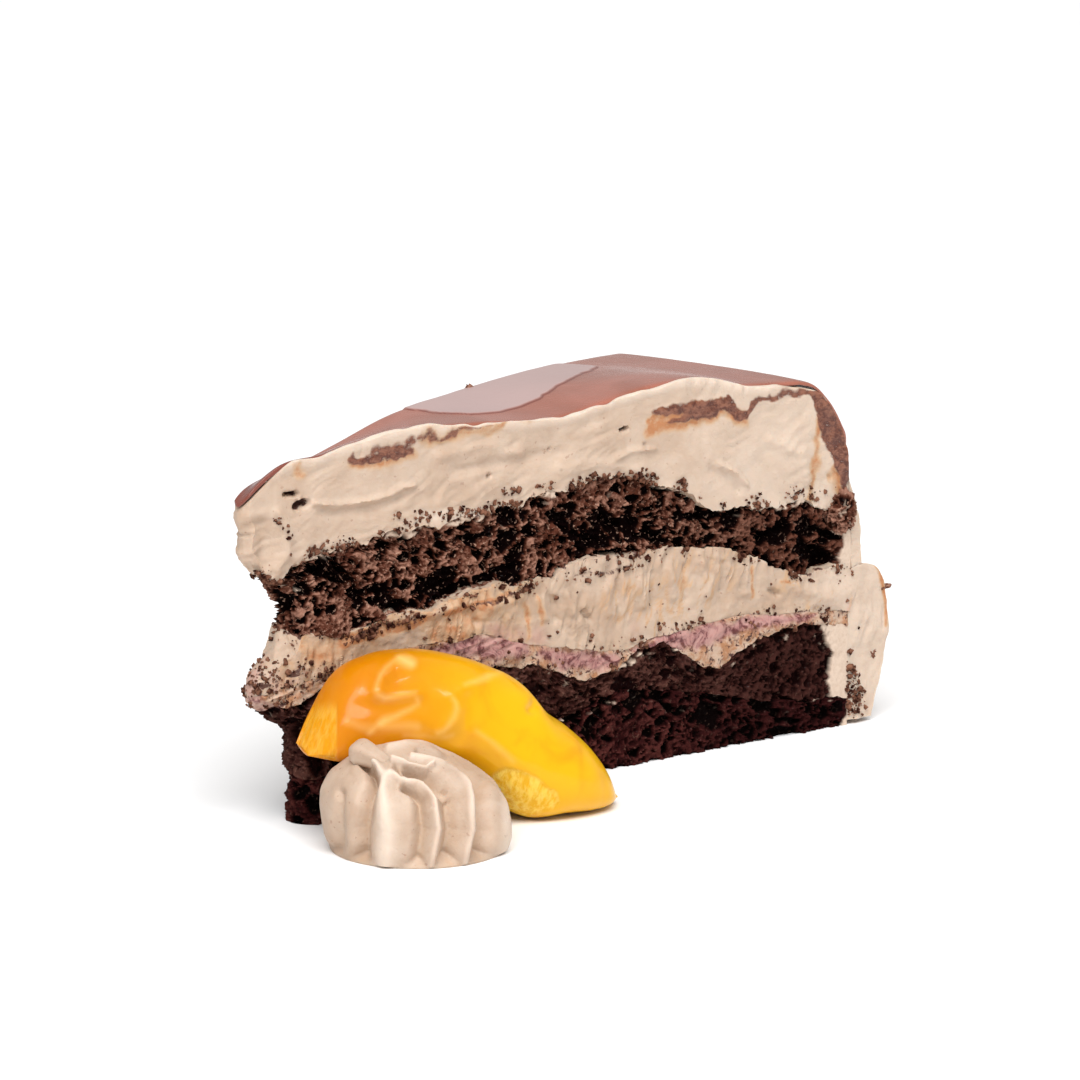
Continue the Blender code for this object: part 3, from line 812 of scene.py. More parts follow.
base = sponge_sheet(
    "base_sponge_crumb", ground, soaked_sponge_bottom, plain_rim, (440, 46, 20), 100, base_crumb,
    crag=0.9, openness=0.8, deepest=1.9, rim_cream=140.6,
)
soaked = sponge_sheet(
    "soaked_sponge_crumb", soaked_sponge_bottom, berry_cream_bottom, plain_rim, (440, 46, 20), 200,
    soaked_crumb, crag=0.9, openness=0.4, deepest=1.3, rim_cream=136.5, dabs=SOAKED_DABS,
)
middle = sponge_sheet(
    "middle_sponge_crumb", middle_sponge_bottom, middle_sponge_top, middle_sponge_rim, (520, 60, 20), 300,
    middle_crumb, crag=1.1, openness=1.0, deepest=3.0, rim_cream=138.8, dabs=MIDDLE_DABS, caves=MIDDLE_CAVES,
)
stand_for(base, "chocolate_sponge", "base_sponge")
stand_for(soaked, "soaked_sponge", "soaked_sponge")
stand_for(middle, "chocolate_sponge", "middle_sponge")

# %% Places for loose crumbs
crumb_places, crumb_directions = [], []


def drop_crumbs(points, outward, weight, count, seed):
    """Picks points of a mesh at random for loose crumbs, the likelier the greater their weight."""
    random = np.random.default_rng(seed)
    weight = np.maximum(weight, 0)
    chosen = random.choice(len(points), count, p=weight / weight.sum())
    crumb_places.append(points[chosen] + random.normal(0, 0.15 * MM, (count, 3)))
    crumb_directions.append(outward[chosen])
    print("crumbs", count)


# %% [markdown]
# ## Cream
#
# The coffee cream was dragged by the knife. The drag leaves long low ridges, small pits where air bubbles
# opened, and stains where crumb and glaze were pulled along. The thick top layer and the middle layer are
# each one piece that bends down at the rim and coats it.

# %% The cream's relief


def drag_marks(points, seed, lean, length=7 * MM, width=1.3 * MM):
    """Ridges from a knife: noise stretched along a line that leans by that angle, and folded sharp."""
    s, z = along_cut(points) * MM, points[:, 2]
    drag = np.stack([
        (s * np.cos(lean) + z * np.sin(lean)) / length,
        (z * np.cos(lean) - s * np.sin(lean)) / width + 1.6 * cloudy(points, 9 * MM, seed + 3, 2),
        points @ CUT_OUTWARD / length,
    ], -1)
    return 1 - 2 * np.abs(cloudy(drag, 1.0, seed, 2, 0.6))


def cream_relief(points, outward, seed, lean, strength, lumpy=0.34):
    """Swells, drag ridges, soft lumps and a few opened air bubbles."""
    swell = 0.6 * MM * cloudy(points, 12 * MM, seed, 2)
    here_and_there = step(cloudy(points, 9 * MM, seed + 20), -0.6, 0.5)
    ridges = strength * MM * drag_marks(points, seed + 10, lean) * here_and_there
    lumps = lumpy * MM * cloudy(points, 3.0 * MM, seed + 30, 3, 0.6)
    holes = bubbles(points, outward, 4.5 * MM, 0.03, 0.13, seed + 40)
    return swell + ridges + lumps - np.minimum(holes, 1.2 * MM)


# %% The cream's finish
CREAM_MARKS = ("chocolate", "stain", "crumb", "rose", "pale")
CREAM_LIGHT, CREAM_SHADE = (0.50, 0.375, 0.285), (0.42, 0.295, 0.21)
PALE_AND_HIGHLIGHT_TONE, ROSE_TONE, SPECK_TONE = (0.68, 0.56, 0.46), (0.42, 0.23, 0.19), (0.26, 0.13, 0.08)
FAINT_STAIN_AND_SHADE, STRONG_STAIN = (0.50, 0.325, 0.20), (0.42, 0.18, 0.075)
CRUMB_TONE = (0.085, 0.036, 0.026)
SMEAR_DARK, SMEAR_LIGHT = (0.075, 0.018, 0.010), (0.24, 0.095, 0.055)


def cream_finish(name):
    """Coffee cream: soft inside, patchy in tone, stained where chocolate and crumb were dragged over it.

    The pale mark is partly painted light: a highlight on the lip and the crests, and a lighter cut face. On
    the rosette the stain mark is painted shade in the valleys.
    """
    finish = Finish(name)
    chocolate, stain, crumb, rose, pale = (finish.attribute(mark) for mark in CREAM_MARKS)
    patches = finish.noise(9 * MM, 3, 0.6, 0.6)
    streaks = finish.noise(1.0 * MM, 3, 0.6, place=finish.stretched((0, 0.25, 0.18), (5.0, 1.0, 1.0)))
    fine = finish.noise(0.5 * MM, 4, 0.65)
    mottle = finish.noise(1.5 * MM, 4, 0.7, 0.4)
    specks = finish.noise(1.1 * MM, 2, 0.5)
    drawn = finish.noise(0.9 * MM, 4, 0.7, place=finish.stretched((0, 0.2, 0.18), (4.0, 1.0, 1.0)))
    stained = (stain + stain * (mottle - 0.5) * 1.8).limited()
    smear = (chocolate + (mottle + drawn - 1.0) * chocolate * 1.6).smooth(0.2, 0.75)
    body = finish.painted(
        CREAM_LIGHT,
        (patches.smooth(0.35, 0.7), CREAM_SHADE),
        (specks.smooth(0.68, 0.74, 0, 0.5), SPECK_TONE),
        (mottle.smooth(0.5, 0.8, 0, 0.5), CREAM_SHADE),
        (streaks.smooth(0.5, 0.8, 0, 0.35), CREAM_SHADE),
        (pale, PALE_AND_HIGHLIGHT_TONE),
        (rose, ROSE_TONE),
        (stained.smooth(0.0, 0.5), FAINT_STAIN_AND_SHADE),
        (stained.smooth(0.35, 0.9), STRONG_STAIN),
        ((crumb + (mottle - 0.5) * crumb * 2.4).smooth(0.35, 0.6), CRUMB_TONE),
        (smear, finish.mix((drawn * 0.5 + mottle * 0.5).smooth(0.4, 0.62), SMEAR_DARK, SMEAR_LIGHT)),
    )
    return finish.set(
        Base_Color=body, Roughness=0.55 - smear * 0.3, Specular_IOR_Level=0.35,
        Subsurface_Weight=0.25, Subsurface_Radius=(1.0, 0.55, 0.35), Subsurface_Scale=2.0 * MM,
        Normal=finish.bump(fine * 0.35 + mottle * 0.5 + streaks * 0.5, 0.22 * MM),
    )


mocha = cream_finish("mocha_cream")

# %% [markdown]
# ### The top cream
#
# It is the thickest layer. Its upper front edge stands up in a thin lip beside the glaze, and chocolate was
# smeared from there down over its cut face.

# %% The top cream
# Chocolate and its orange stain as the picture shows them: (right, down, half width) in pixels
TOP_SMEARS = [
    [(350, 461, 2), (362, 459, 4), (392, 455, 5), (410, 450, 3)],
    [(366, 451, 1.5), (390, 447, 2.5), (415, 443, 1.5)],
    [(420, 440, 1.5), (442, 437, 1.6), (478, 428, 1), (502, 422, 0.6)],
    [(654, 411, 2.5), (672, 408, 5), (700, 406, 6), (726, 402, 7)],
    [(668, 421, 2), (690, 417, 4), (712, 411, 5)],
    [(726, 401, 6), (736, 410, 5), (742, 419, 3)],
    [(742, 418, 3), (750, 405, 4), (762, 397, 2.5), (786, 392, 2), (807, 390, 2.5), (822, 395, 4)],
    [(814, 395, 5), (825, 408, 9), (833, 428, 11), (838, 450, 10), (843, 470, 8), (847, 492, 3)],
]
TOP_STAINS = [
    [(352, 464, 3), (380, 463, 4), (412, 453, 3)],
    [(300, 478, 3), (294, 474, 4)],
    [(425, 441, 3), (470, 433, 2), (540, 420, 2), (560, 418, 3)],
    [(648, 431, 5), (660, 423, 11), (690, 417, 11), (718, 408, 9)],
    [(655, 420, 6), (690, 412, 7), (720, 405, 6)],
    [(735, 412, 7), (742, 424, 4)],
    [(824, 410, 6), (818, 440, 3), (813, 470, 3), (808, 500, 2.5)],
    [(835, 470, 6), (842, 498, 4)],
    [(505, 415, 2), (516, 412, 2)],
]
TOP_HOLES = [
    [(284, 495, 1.5), (295, 494, 2.2)],
    [(296, 507, 3.6), (305, 503, 3.4)],
    [(621, 430, 1.2), (627, 428, 1.5)],
]
# Swells and scoops as the picture shows them: height in millimetres, then (right, down, width) in pixels
TOP_FOLDS = [
    (0.80, [(314, 503, 2.5), (335, 505, 3), (363, 501, 3), (386, 495, 3), (402, 486, 3), (413, 485, 2)]),
    (-0.50, [(322, 512, 4), (335, 514, 5), (370, 510, 5), (400, 498, 4)]),
    (-1.10, [(262, 528, 9), (268, 545, 11), (262, 560, 9)]),
    (0.60, [(276, 512, 4), (288, 530, 5), (286, 552, 5), (276, 570, 4)]),
    (0.70, [(616, 457, 3), (630, 450, 3), (655, 448, 2)]),
    (0.80, [(719, 464, 3), (732, 470, 3), (741, 478, 3), (747, 484, 2)]),
    (-0.60, [(712, 470, 4), (726, 478, 5), (738, 490, 4)]),
    (0.60, [(440, 455, 6), (480, 447, 7), (520, 452, 6)]),
    (-0.50, [(455, 470, 6), (500, 464, 6), (560, 452, 6)]),
    (0.50, [(560, 470, 6), (600, 462, 6), (640, 470, 5)]),
    (0.60, [(770, 440, 7), (800, 452, 6), (806, 480, 5)]),
    (-0.50, [(760, 462, 6), (775, 490, 7), (790, 505, 5)]),
]
TOP_CLUMPS = [
    [(388, 515, 3), (396, 516, 3)], [(379, 534, 4), (388, 534, 4)], [(503, 490, 4), (515, 492, 4)],
    [(274, 520, 4), (284, 534, 4)], [(421, 516, 4), (478, 512, 4)], [(540, 486, 3), (552, 483, 3)],
    [(590, 480, 4), (606, 476, 4)], [(640, 482, 4), (652, 485, 3)], [(345, 548, 3), (356, 545, 3)],
]
# Where the cream over a clump of crumbs is paler, and how far left no hole has crumb in it
TOP_PALE = [(421, 516, 6), (478, 514, 6)]
CLEAN_HOLES_RIGHT = 288
TOP_ROWS = (360, 60, 44, 56)
TOP_LEAN, TOP_STRENGTH, TOP_LUMPS = 0.30, 0.42, 0.26
LIP_HEIGHT, LIP_OVERHANG, HOLE_DEPTH, SMEAR_HEIGHT = 1.5 * MM, 0.5 * MM, 2.4 * MM, 0.35 * MM
TOP_CRUMBS = 1200


def ribbon(rows, crowding=1.0):
    """The box of points of a layer that turns down at the rim: along the top 0 to 1, then down 0 to 1."""
    on_top, skirt, upwards, over = rows
    steps, up, across, faces = shell(
        np.arange(on_top + skirt + 1), np.linspace(0, 1, upwards + 1), spread(over, crowding)
    )
    return np.minimum(steps / on_top, 1), np.clip((steps - on_top) / skirt, 0, 1), up, across, faces


def top_cream_points(along, down, up, across):
    """The thick cream under the glaze, and the thin coat that it leaves down the outer edge."""
    on_top = down == 0
    tip = tip_reach(between(CREAM_TIP_LOW, CREAM_TIP_HIGH, up), across)
    inner_rim = middle_sponge_rim(across) + COAT_GAP
    side_radius, side_height = shoulder(down, across)
    outer = np.where(on_top, between(tip, SHOULDER_START, along), side_radius)
    x, y = on_slice(between(between(tip, inner_rim, along), outer, up), across)
    ledge = middle_sponge_top(*on_slice(inner_rim, across)) + GAP / 2
    seam = middle_sponge_bottom(*on_slice(inner_rim, across)) + GAP / 2
    low = np.where(on_top, middle_sponge_top(x, y) + GAP / 2, between(ledge, seam, down))
    high = np.where(on_top, cream_top(x, y), side_height)
    return np.stack([x, y, between(low, high, up)], -1)


along, down, up, across, faces = ribbon(TOP_ROWS, 1.5)
points = top_cream_points(along, down, up, across)
outward, on_side = sideways(points, faces)
on_face = on_side * ((np.abs(across) > AT_CUT) | (along == 0) | (down == 1))
front = across < -AT_CUT
relief = cream_relief(points, outward, 400, TOP_LEAN, TOP_STRENGTH, TOP_LUMPS)
right, lower = in_picture(points)
named_holes = smeared(right, lower, TOP_HOLES, 1.5) * front
right_bent = right + 9 * cloudy(points, 4 * MM, 480, 3, 0.6)
lower_bent = lower + 7 * cloudy(points, 3 * MM, 481, 3, 0.6)
chocolate = smeared(right_bent, lower_bent, TOP_SMEARS, 3.0) * front
stain = smeared(right_bent, lower_bent, TOP_STAINS, 5.0) * front
relief = relief * (1 - 0.5 * chocolate) + SMEAR_HEIGHT * chocolate - HOLE_DEPTH * named_holes
relief = relief + folded(right, lower, TOP_FOLDS) * front * MM
radius = polar(points[:, 0], points[:, 1])[0]
from_front = (across + 1) * (TIP_HALF_WIDTH + radius * HALF_ANGLE)
lip = step(from_front, 1.3 * MM, 0.5 * MM) * step(up, 0.93, 1.0) * (down == 0)
lip = lip * step(along, 0.02, 0.08) * step(along, 1.0, 0.93) * (1 - 0.8 * chocolate)
points = moved(points, outward, (relief + LIP_OVERHANG * lip) * on_face)
points[:, 2] += lip * LIP_HEIGHT * (0.75 + 0.6 * cloudy(points, 5 * MM, 450, 2))
crumb = step(up, 0.16, 0.0) * (down == 0) * step(cloudy(points, 0.9 * MM, 460, 2), 0.15, 0.5) * 0.6
crumb = np.maximum(crumb, named_holes * (right > CLEAN_HOLES_RIGHT))
# The lip is painted paler as a highlight, and the cut face is painted paler overall and more so towards the
# rim: painted light
pale = np.maximum(lip, (0.12 + 0.3 * step(along_cut(points), *DUSK)) * front)
pale = np.maximum(pale, 0.6 * stroke(right, lower, TOP_PALE, 4) * front)
clumps = sum(stroke(right, lower, path, 2.5) for path in TOP_CLUMPS) * front
clumping = step(cloudy(points, 3.2 * MM, 470, 2), -0.15, 0.5)
fallen = clumping * step(up, 0.24, 0.0) ** 2.5 * (down == 0)
drop_crumbs(points, outward, on_face * (fallen + 0.35 * clumps), TOP_CRUMBS, 1)
top = as_object("top_cream_dragged", points, list(faces.values()), mocha, {
    "chocolate": chocolate, "stain": stain * 0.8, "crumb": crumb * on_face, "rose": 0 * pale, "pale": pale,
}, 60)
stand_for(top, "mocha_cream", "top_cream")

# %% [markdown]
# ### The middle cream
#
# Between the sponges the cream was pressed and dragged upwards, so its marks stand upright. Crumb, a little
# berry cream and syrup were caught in it, most of all along both sponges.

# %% The middle cream
MIDDLE_ROWS = (360, 64, 44, 48)
MIDDLE_LEAN, MIDDLE_STRENGTH, MIDDLE_LUMPS = 1.35, 0.85, 0.5
STREAK_LEAN, STREAK_LENGTH, STREAK_WIDTH = 1.45, 6 * MM, 1.1 * MM
MIDDLE_CRUMB_COUNT = 1500
# Stains and caught crumbs: (along, height, half width) in millimetres on the front cut
MIDDLE_STAINS = [
    [(63.5, 34.5, 0.3), (64.5, 31.0, 0.5), (64.0, 28.0, 0.3)],
    [(66.5, 35.5, 0.3), (67.0, 30.0, 0.4)],
    [(116.8, 34.2, 0.4), (117.2, 28.6, 0.5)],
    [(124.0, 30.6, 0.3), (126.0, 30.2, 0.5)],
    [(22, 33.0, 1.2), (30, 34.2, 1.3), (40, 34.8, 1.0)],
    [(44, 35.5, 0.8), (52, 36.4, 0.8), (60, 37.0, 0.5)],
]
MIDDLE_CRUMBS = [
    [(75, 38.4, 0.5), (82, 38.0, 0.8), (90, 38.6, 0.4)],
    [(50, 36.0, 0.5), (58, 36.6, 0.7), (66, 37.6, 0.4)],
    [(24, 33.4, 0.7), (31, 34.9, 0.9), (40, 35.6, 0.6)],
    [(126.5, 31.2, 0.6), (128.0, 31.0, 0.5)],
]
# Upright lumps and pits as the picture shows them: height in millimetres, (right, down, width) in pixels
MIDDLE_FOLDS = [
    (0.80, [(540, 600, 4), (546, 618, 4)]), (-0.70, [(552, 598, 3), (556, 620, 3)]),
    (0.80, [(566, 594, 4), (570, 612, 4)]), (-1.20, [(582, 612, 3), (586, 618, 3)]),
    (0.90, [(604, 588, 5), (606, 612, 5)]), (-0.70, [(616, 580, 3), (618, 622, 3)]),
    (0.80, [(636, 578, 4), (642, 606, 5)]), (-0.80, [(652, 572, 3), (654, 606, 3)]),
    (0.80, [(668, 568, 5), (672, 596, 5)]), (-0.60, [(684, 566, 3), (686, 600, 3)]),
    (0.80, [(702, 562, 5), (708, 594, 5)]), (-0.80, [(722, 562, 3), (722, 590, 3)]),
    (0.70, [(742, 566, 5), (746, 592, 5)]), (-1.20, [(772, 590, 3), (778, 594, 3)]),
    (0.70, [(800, 590, 6), (830, 596, 8)]), (-0.60, [(815, 610, 5), (838, 612, 5)]),
    (0.90, [(430, 612, 6), (452, 606, 6)]), (-0.70, [(466, 612, 4), (474, 622, 4)]),
    (0.80, [(488, 606, 6), (508, 600, 6)]), (-0.70, [(522, 604, 4), (528, 618, 4)]),
]
# The orange line down the coat and the crumbs at its foot, in pixels
COAT_LINE = [(868, 550, 1.5), (880, 570, 2), (886, 600, 2), (886, 625, 1)]
FOOT_CRUMBS = [(832, 664, 6), (846, 672, 9), (850, 700, 12)]


def middle_cream_points(along, down, up, across):
    """The cream between the sponges, and the thick coat that runs on down the outer edge."""
    on_top = down == 0
    x, y = on_slice(along * CAKE_RADIUS, across)
    tip = tip_reach(between(berry_cream_top(x, y), middle_sponge_bottom(x, y), up), across)
    inner_rim = CAKE_RADIUS + COAT_GAP
    outer = np.where(on_top, between(tip, COAT_LIP_RADIUS, along), coat_radius(down))
    x, y = on_slice(between(between(tip, inner_rim, along), outer, up), across)
    ledge = berry_cream_top(*on_slice(inner_rim, across)) + GAP / 2
    brow = middle_sponge_bottom(*on_slice(COAT_LIP_RADIUS, across)) - GAP / 2
    low = np.where(on_top, berry_cream_top(x, y) + GAP / 2, between(ledge, COAT_FOOT, down))
    high = np.where(on_top, middle_sponge_bottom(x, y) - GAP / 2,
                    between(COAT_FOOT, brow, coat_height(down)))
    return np.stack([x, y, between(low, high, up)], -1)


along, down, up, across, faces = ribbon(MIDDLE_ROWS, 1.3)
points = middle_cream_points(along, down, up, across)
outward, on_side = sideways(points, faces, ("front", "back", "tip", "rim", "top"))
on_coat = (up == 1) & (down > 0.06)
on_face = on_side * ((np.abs(across) > AT_CUT) | (along == 0) | on_coat | (down == 1))
front = across < -AT_CUT
s, z = wandering(points, 0.8, 2.2 * MM, 600)
relief = cream_relief(points, outward, 640, MIDDLE_LEAN, MIDDLE_STRENGTH, MIDDLE_LUMPS)
relief = relief + folded(*in_picture(points), MIDDLE_FOLDS) * front * MM
at_seam = step(np.abs(along_cut(points) - CAKE_RADIUS / MM), 2.5, 0.2) * (down > 0) * (up < 0.5)
relief = relief * (1 - at_seam)
stain = smeared(s, z, MIDDLE_STAINS, 0.5) * front
streaky = step(drag_marks(points, 655, STREAK_LEAN, STREAK_LENGTH, STREAK_WIDTH), 0.6, 0.95)
streaky = streaky * step(cloudy(points, 8 * MM, 656), -0.2, 0.4)
caught = smeared(s, z, MIDDLE_CRUMBS, 0.6) * front
edge = np.maximum(step(up, 0.14, 0.02), step(up, 0.82, 0.97)) * (down == 0)
crumb = np.maximum(edge * step(cloudy(points, 1.0 * MM, 660, 2), 0.1, 0.5) * 0.6, caught * 0.5)
rose = step(cloudy(points, 7 * MM, 670, 2), 0.0, 0.5) * step(up, 0.45, 0.05) * (down == 0) * 0.8
tip_dirt = step(s, 26, 14) * step(z, 33.5, 29)
rose = np.maximum(rose, tip_dirt * step(cloudy(points, 2.5 * MM, 671, 3), -0.1, 0.3) * 0.7)
crumb = np.maximum(crumb, tip_dirt * step(cloudy(points, 1.2 * MM, 680, 2), 0.05, 0.45) * 0.6)
golden = step(s, 74, 48) * step(s, 6, 12) * (0.42 + 0.8 * cloudy(points, 4 * MM, 681, 3, 0.6)) * front
relief = relief + 0.5 * MM * crumb * cloudy(points, 1.1 * MM, 690, 2)
points = moved(points, outward, relief * on_face)
clumping = step(cloudy(points, 2.6 * MM, 691, 2), -0.1, 0.5)
edges = (step(up, 0.3, 0.0) ** 2 + step(up, 0.65, 1.0) ** 2) * (down == 0)
foot = 1.6 * stroke(*in_picture(points), FOOT_CRUMBS, 6) * (down > 0)
fallen = clumping * (edges + 0.04) + caught + 0.4 * tip_dirt + foot
drop_crumbs(points, outward, on_face * fallen, MIDDLE_CRUMB_COUNT, 2)
stained = np.maximum(np.maximum(stain * 0.8, streaky * 0.5 * front * (down == 0)), np.clip(golden, 0, 1))
stained = np.maximum(stained, 0.9 * stroke(*in_picture(points), COAT_LINE, 2) * (across < -0.6))
pale = 0.4 * step(along_cut(points), 128, 142) * front
filling = as_object("middle_cream_dragged", points, list(faces.values()), mocha, {
    "chocolate": 0 * pale, "stain": stained * on_side, "crumb": crumb * on_side, "rose": rose * on_side,
    "pale": pale,
}, 60)
stand_for(filling, "mocha_cream", "middle_cream")

# %% [markdown]
# ### The berry cream
#
# A thin pink layer that the knife pulled apart. It shows in three places as mauve patches with dark juice in
# them.

# %% The berry cream
BERRY_ROWS = (400, 16, 16)
# Where the pink shows: (along, height, half width) in millimetres on the front cut
PINK_PATCHES = [
    [(40, 28.2, 0.8), (48, 28.8, 2.0), (57, 27.6, 2.3), (63, 26.6, 1.2)],
    [(67, 24.6, 0.8), (72, 23.2, 1.8), (80, 21.4, 1.8), (84, 21.6, 0.8)],
    [(88, 22.4, 0.5), (95, 23.2, 1.3), (103, 23.0, 2.0), (112, 23.2, 1.6), (122, 23.4, 1.2),
     (132, 22.8, 0.6)],
]
BERRY_CRUMBS = 400
MAUVE, DARK_MAUVE, JUICE = (0.45, 0.245, 0.215), (0.27, 0.11, 0.105), (0.10, 0.022, 0.022)
TAN, DARK_TAN, DIRT = (0.48, 0.34, 0.25), (0.36, 0.17, 0.08), (0.06, 0.018, 0.012)


def berry_finish():
    """Mauve pink cream with darker juice in patches, and stained coffee cream with crumb between them."""
    finish = Finish("berry_cream")
    pink = finish.attribute("pink")
    patches = finish.noise(2.6 * MM, 4, 0.65, 0.8)
    fine = finish.noise(0.6 * MM, 4, 0.7)
    mottle = finish.noise(1.2 * MM, 4, 0.7, 0.4)
    body = finish.mix(patches.smooth(0.38, 0.62), MAUVE, DARK_MAUVE)
    body = finish.mix((patches + fine * 0.4).smooth(0.70, 0.84), body, JUICE)
    cream = finish.mix(patches.smooth(0.4, 0.65), TAN, DARK_TAN)
    cream = finish.mix((mottle + fine * 0.3).smooth(0.68, 0.78), cream, DIRT)
    return finish.set(
        Base_Color=finish.mix(pink, cream, body), Roughness=0.5, Specular_IOR_Level=0.35,
        Subsurface_Weight=0.2, Subsurface_Radius=(1.0, 0.4, 0.35), Subsurface_Scale=1.5 * MM,
        Normal=finish.bump(patches + fine * 0.4, 0.3 * MM),
    )


along, up, across, faces = sheet_box(BERRY_ROWS)
points = sheet_points(along, up, across, berry_cream_bottom, berry_cream_top, plain_rim)
outward, on_side = sideways(points, faces)
s, z = wandering(points, 1.6, 3.0 * MM, 740)
pink_behind = step(cloudy(points, 14 * MM, 730, 2), -0.1, 0.2)
pink = np.where(across < -NEAR_CUT, smeared(s, z, PINK_PATCHES, 0.9), pink_behind)
relief = cream_relief(points, outward, 700, 0.2, 0.6) + 0.45 * MM * cloudy(points, 1.5 * MM, 720, 3)
points = moved(points, outward, relief * on_side)
clumping = step(cloudy(points, 2.6 * MM, 691, 2), -0.2, 0.4)
drop_crumbs(points, outward, on_side * (1.15 - pink) * clumping, BERRY_CRUMBS, 3)
berry = as_object("berry_cream_layer", points, list(faces.values()), berry_finish(), {"pink": pink}, 60)
stand_for(berry, "berry_cream", "berry_cream")

# %% [markdown]
# ## Glaze
#
# A skin of chocolate less than a millimetre thick. It mirrors the white room at a flat angle, so it looks
# much paler than the chocolate itself. Its top is nearly smooth, with slow waves and one pale, bruised
# patch. At the rim it runs over the shoulder in round drips.

# %% The glaze's shape
GLAZE_GAP, GLAZE_DRIP_GAP, GLAZE_THICKNESS = 0.4 * MM, 1.6 * MM, 0.8 * MM
GLAZE_INSET = 0.035
GLAZE_SHORTEST, GLAZE_EVEN_SHARE = 0.22, 0.45
GLAZE_ROWS = (300, 56, 4, 108)
GLAZE_BEAD, PATCH_HEIGHT, SLOW_WAVE, QUICK_WAVE = 0.5 * MM, 0.28 * MM, 0.10 * MM, 0.03 * MM
SLOPE_STEP = 0.0004
# The pale patch's outline on the top, in millimetres
PATCH = np.array([(-37.2, 7.7), (-36.9, 1.7), (-33.9, -3.1), (-26.7, -3.8), (-14.5, -2.6), (1.0, 2.7),
                  (15.7, 9.7), (13.7, 24), (-37.0, 24)])


def inside_outline(x, y, outline):
    """Signed distance in millimetres to a convex outline, positive inside: the least over its edges."""
    middle = outline.mean(0)
    nearest = np.full_like(x, 1e3)
    for a, b in zip(outline, np.roll(outline, -1, axis=0)):
        normal = np.array([a[1] - b[1], b[0] - a[0]]) / np.linalg.norm(b - a)
        normal = normal * np.sign((middle - a) @ normal)
        nearest = np.minimum(nearest, (x - a[0]) * normal[0] + (y - a[1]) * normal[1])
    return nearest


def glaze_points(along, down, across):
    """The skin over the top cream: it follows the cream at a small gap, and its rim hangs in drips."""
    share = across * (1 - GLAZE_INSET)
    tip = tip_reach(CREAM_TIP_HIGH, share)
    even = np.minimum(down / GLAZE_EVEN_SHARE, 1)
    hanging = np.clip((down - GLAZE_EVEN_SHARE) / (1 - GLAZE_EVEN_SHARE), 0, 1)
    run_down = between(GLAZE_SHORTEST * even, glaze_drips(share), hanging)
    side_radius, side_height = shoulder(run_down, share)
    radius = np.where(along < 1, between(tip, SHOULDER_START, along), side_radius)
    height = np.where(along < 1, cream_top(*on_slice(radius, share)), side_height)
    return radius, height, share, run_down


along, down, up, across, faces = ribbon(GLAZE_ROWS, 1.25)
radius, height, share, run_down = glaze_points(along, down, across)
before, after = (
    glaze_points(np.clip(along + move, 0, 1), np.clip(down + move, 0, 1), across)
    for move in (-SLOPE_STEP, SLOPE_STEP)
)
run, rise = after[0] - before[0], after[1] - before[1]
reach = np.maximum(np.hypot(run, rise), 1e-12)
run, rise = run / reach, rise / reach
edge_round = np.sqrt(np.clip(1 - np.abs(across) ** 24, 0, 1)) * np.sqrt(np.clip(1 - down ** 14, 0, 1))
edge_round = edge_round * np.sqrt(np.clip(1 - (1 - along) ** 60, 0, 1))
x, y = on_slice(radius, share)
level = np.stack([x, y, height], -1)
patch = inside_outline(
    x / MM + 0.8 * cloudy(level, 3 * MM, 810, 2), y / MM + 0.5 * cloudy(level, 3 * MM, 811, 2), PATCH
)
wave = SLOW_WAVE * cloudy(level, 16 * MM, 800, 2) + QUICK_WAVE * cloudy(level, 4 * MM, 801, 2)
raised = PATCH_HEIGHT * step(patch, 0.0, 0.5) * (down == 0)
thick = GLAZE_THICKNESS * (0.25 + 0.75 * edge_round) * up
bead = GLAZE_BEAD * step(down, 0.75, 0.92) * up * edge_round
lift = GLAZE_GAP + GLAZE_DRIP_GAP * run_down + thick + bead + (wave + raised) * up
x, y = on_slice(radius - rise * lift, share)
points = np.stack([x, y, height + run * lift], -1)
# A dark line round the patch is a painted shadow, and the glaze towards the tip is painted darker as shade
patch_rim = step(patch, -0.5, 0.0) * step(patch, 0.5, 0.0) * (down == 0)
marks = {
    "patch": step(patch, 0.0, 0.6) * (down == 0),
    "patch_edge_and_tip_shade": np.maximum(patch_rim, 0.85 * step(radius, 30 * MM, 12 * MM)),
}


# %% The glaze's finish
GLAZE_DARK, GLAZE_LIGHT, GLAZE_DUST = (0.29, 0.098, 0.062), (0.36, 0.130, 0.090), (0.36, 0.15, 0.11)
PATCH_TONE, PAINTED_SHADE_TONE = (0.46, 0.34, 0.325), (0.11, 0.018, 0.012)


def glaze_finish():
    """Set milk chocolate glaze: a soft gloss, slightly uneven in tone, with the pale patch.

    A dark line round the patch is a painted shadow, and the glaze is painted darker towards the tip as
    shade.
    """
    finish = Finish("chocolate_glaze")
    patch, edge_and_tip_shade = finish.attribute("patch"), finish.attribute("patch_edge_and_tip_shade")
    clouds = finish.noise(14 * MM, 3, 0.6, 0.5)
    fine = finish.noise(1.2 * MM, 4, 0.6)
    body = finish.painted(
        GLAZE_DARK, (clouds.smooth(0.3, 0.7), GLAZE_LIGHT), (fine.smooth(0.55, 0.8, 0, 0.25), GLAZE_DUST),
        (patch * 0.85, PATCH_TONE), (edge_and_tip_shade * 0.8, PAINTED_SHADE_TONE),
    )
    return finish.set(
        Base_Color=body, Roughness=0.27 + patch * 0.12 + (fine - 0.5) * 0.12, IOR=1.4,
        Coat_Weight=0.12, Coat_Roughness=0.12, Normal=finish.bump(fine, 0.04 * MM),
    )


glaze = as_object("chocolate_glaze_skin", points, list(faces.values()), glaze_finish(), marks, 60)
stand_for(glaze, "chocolate_glaze", "glaze")

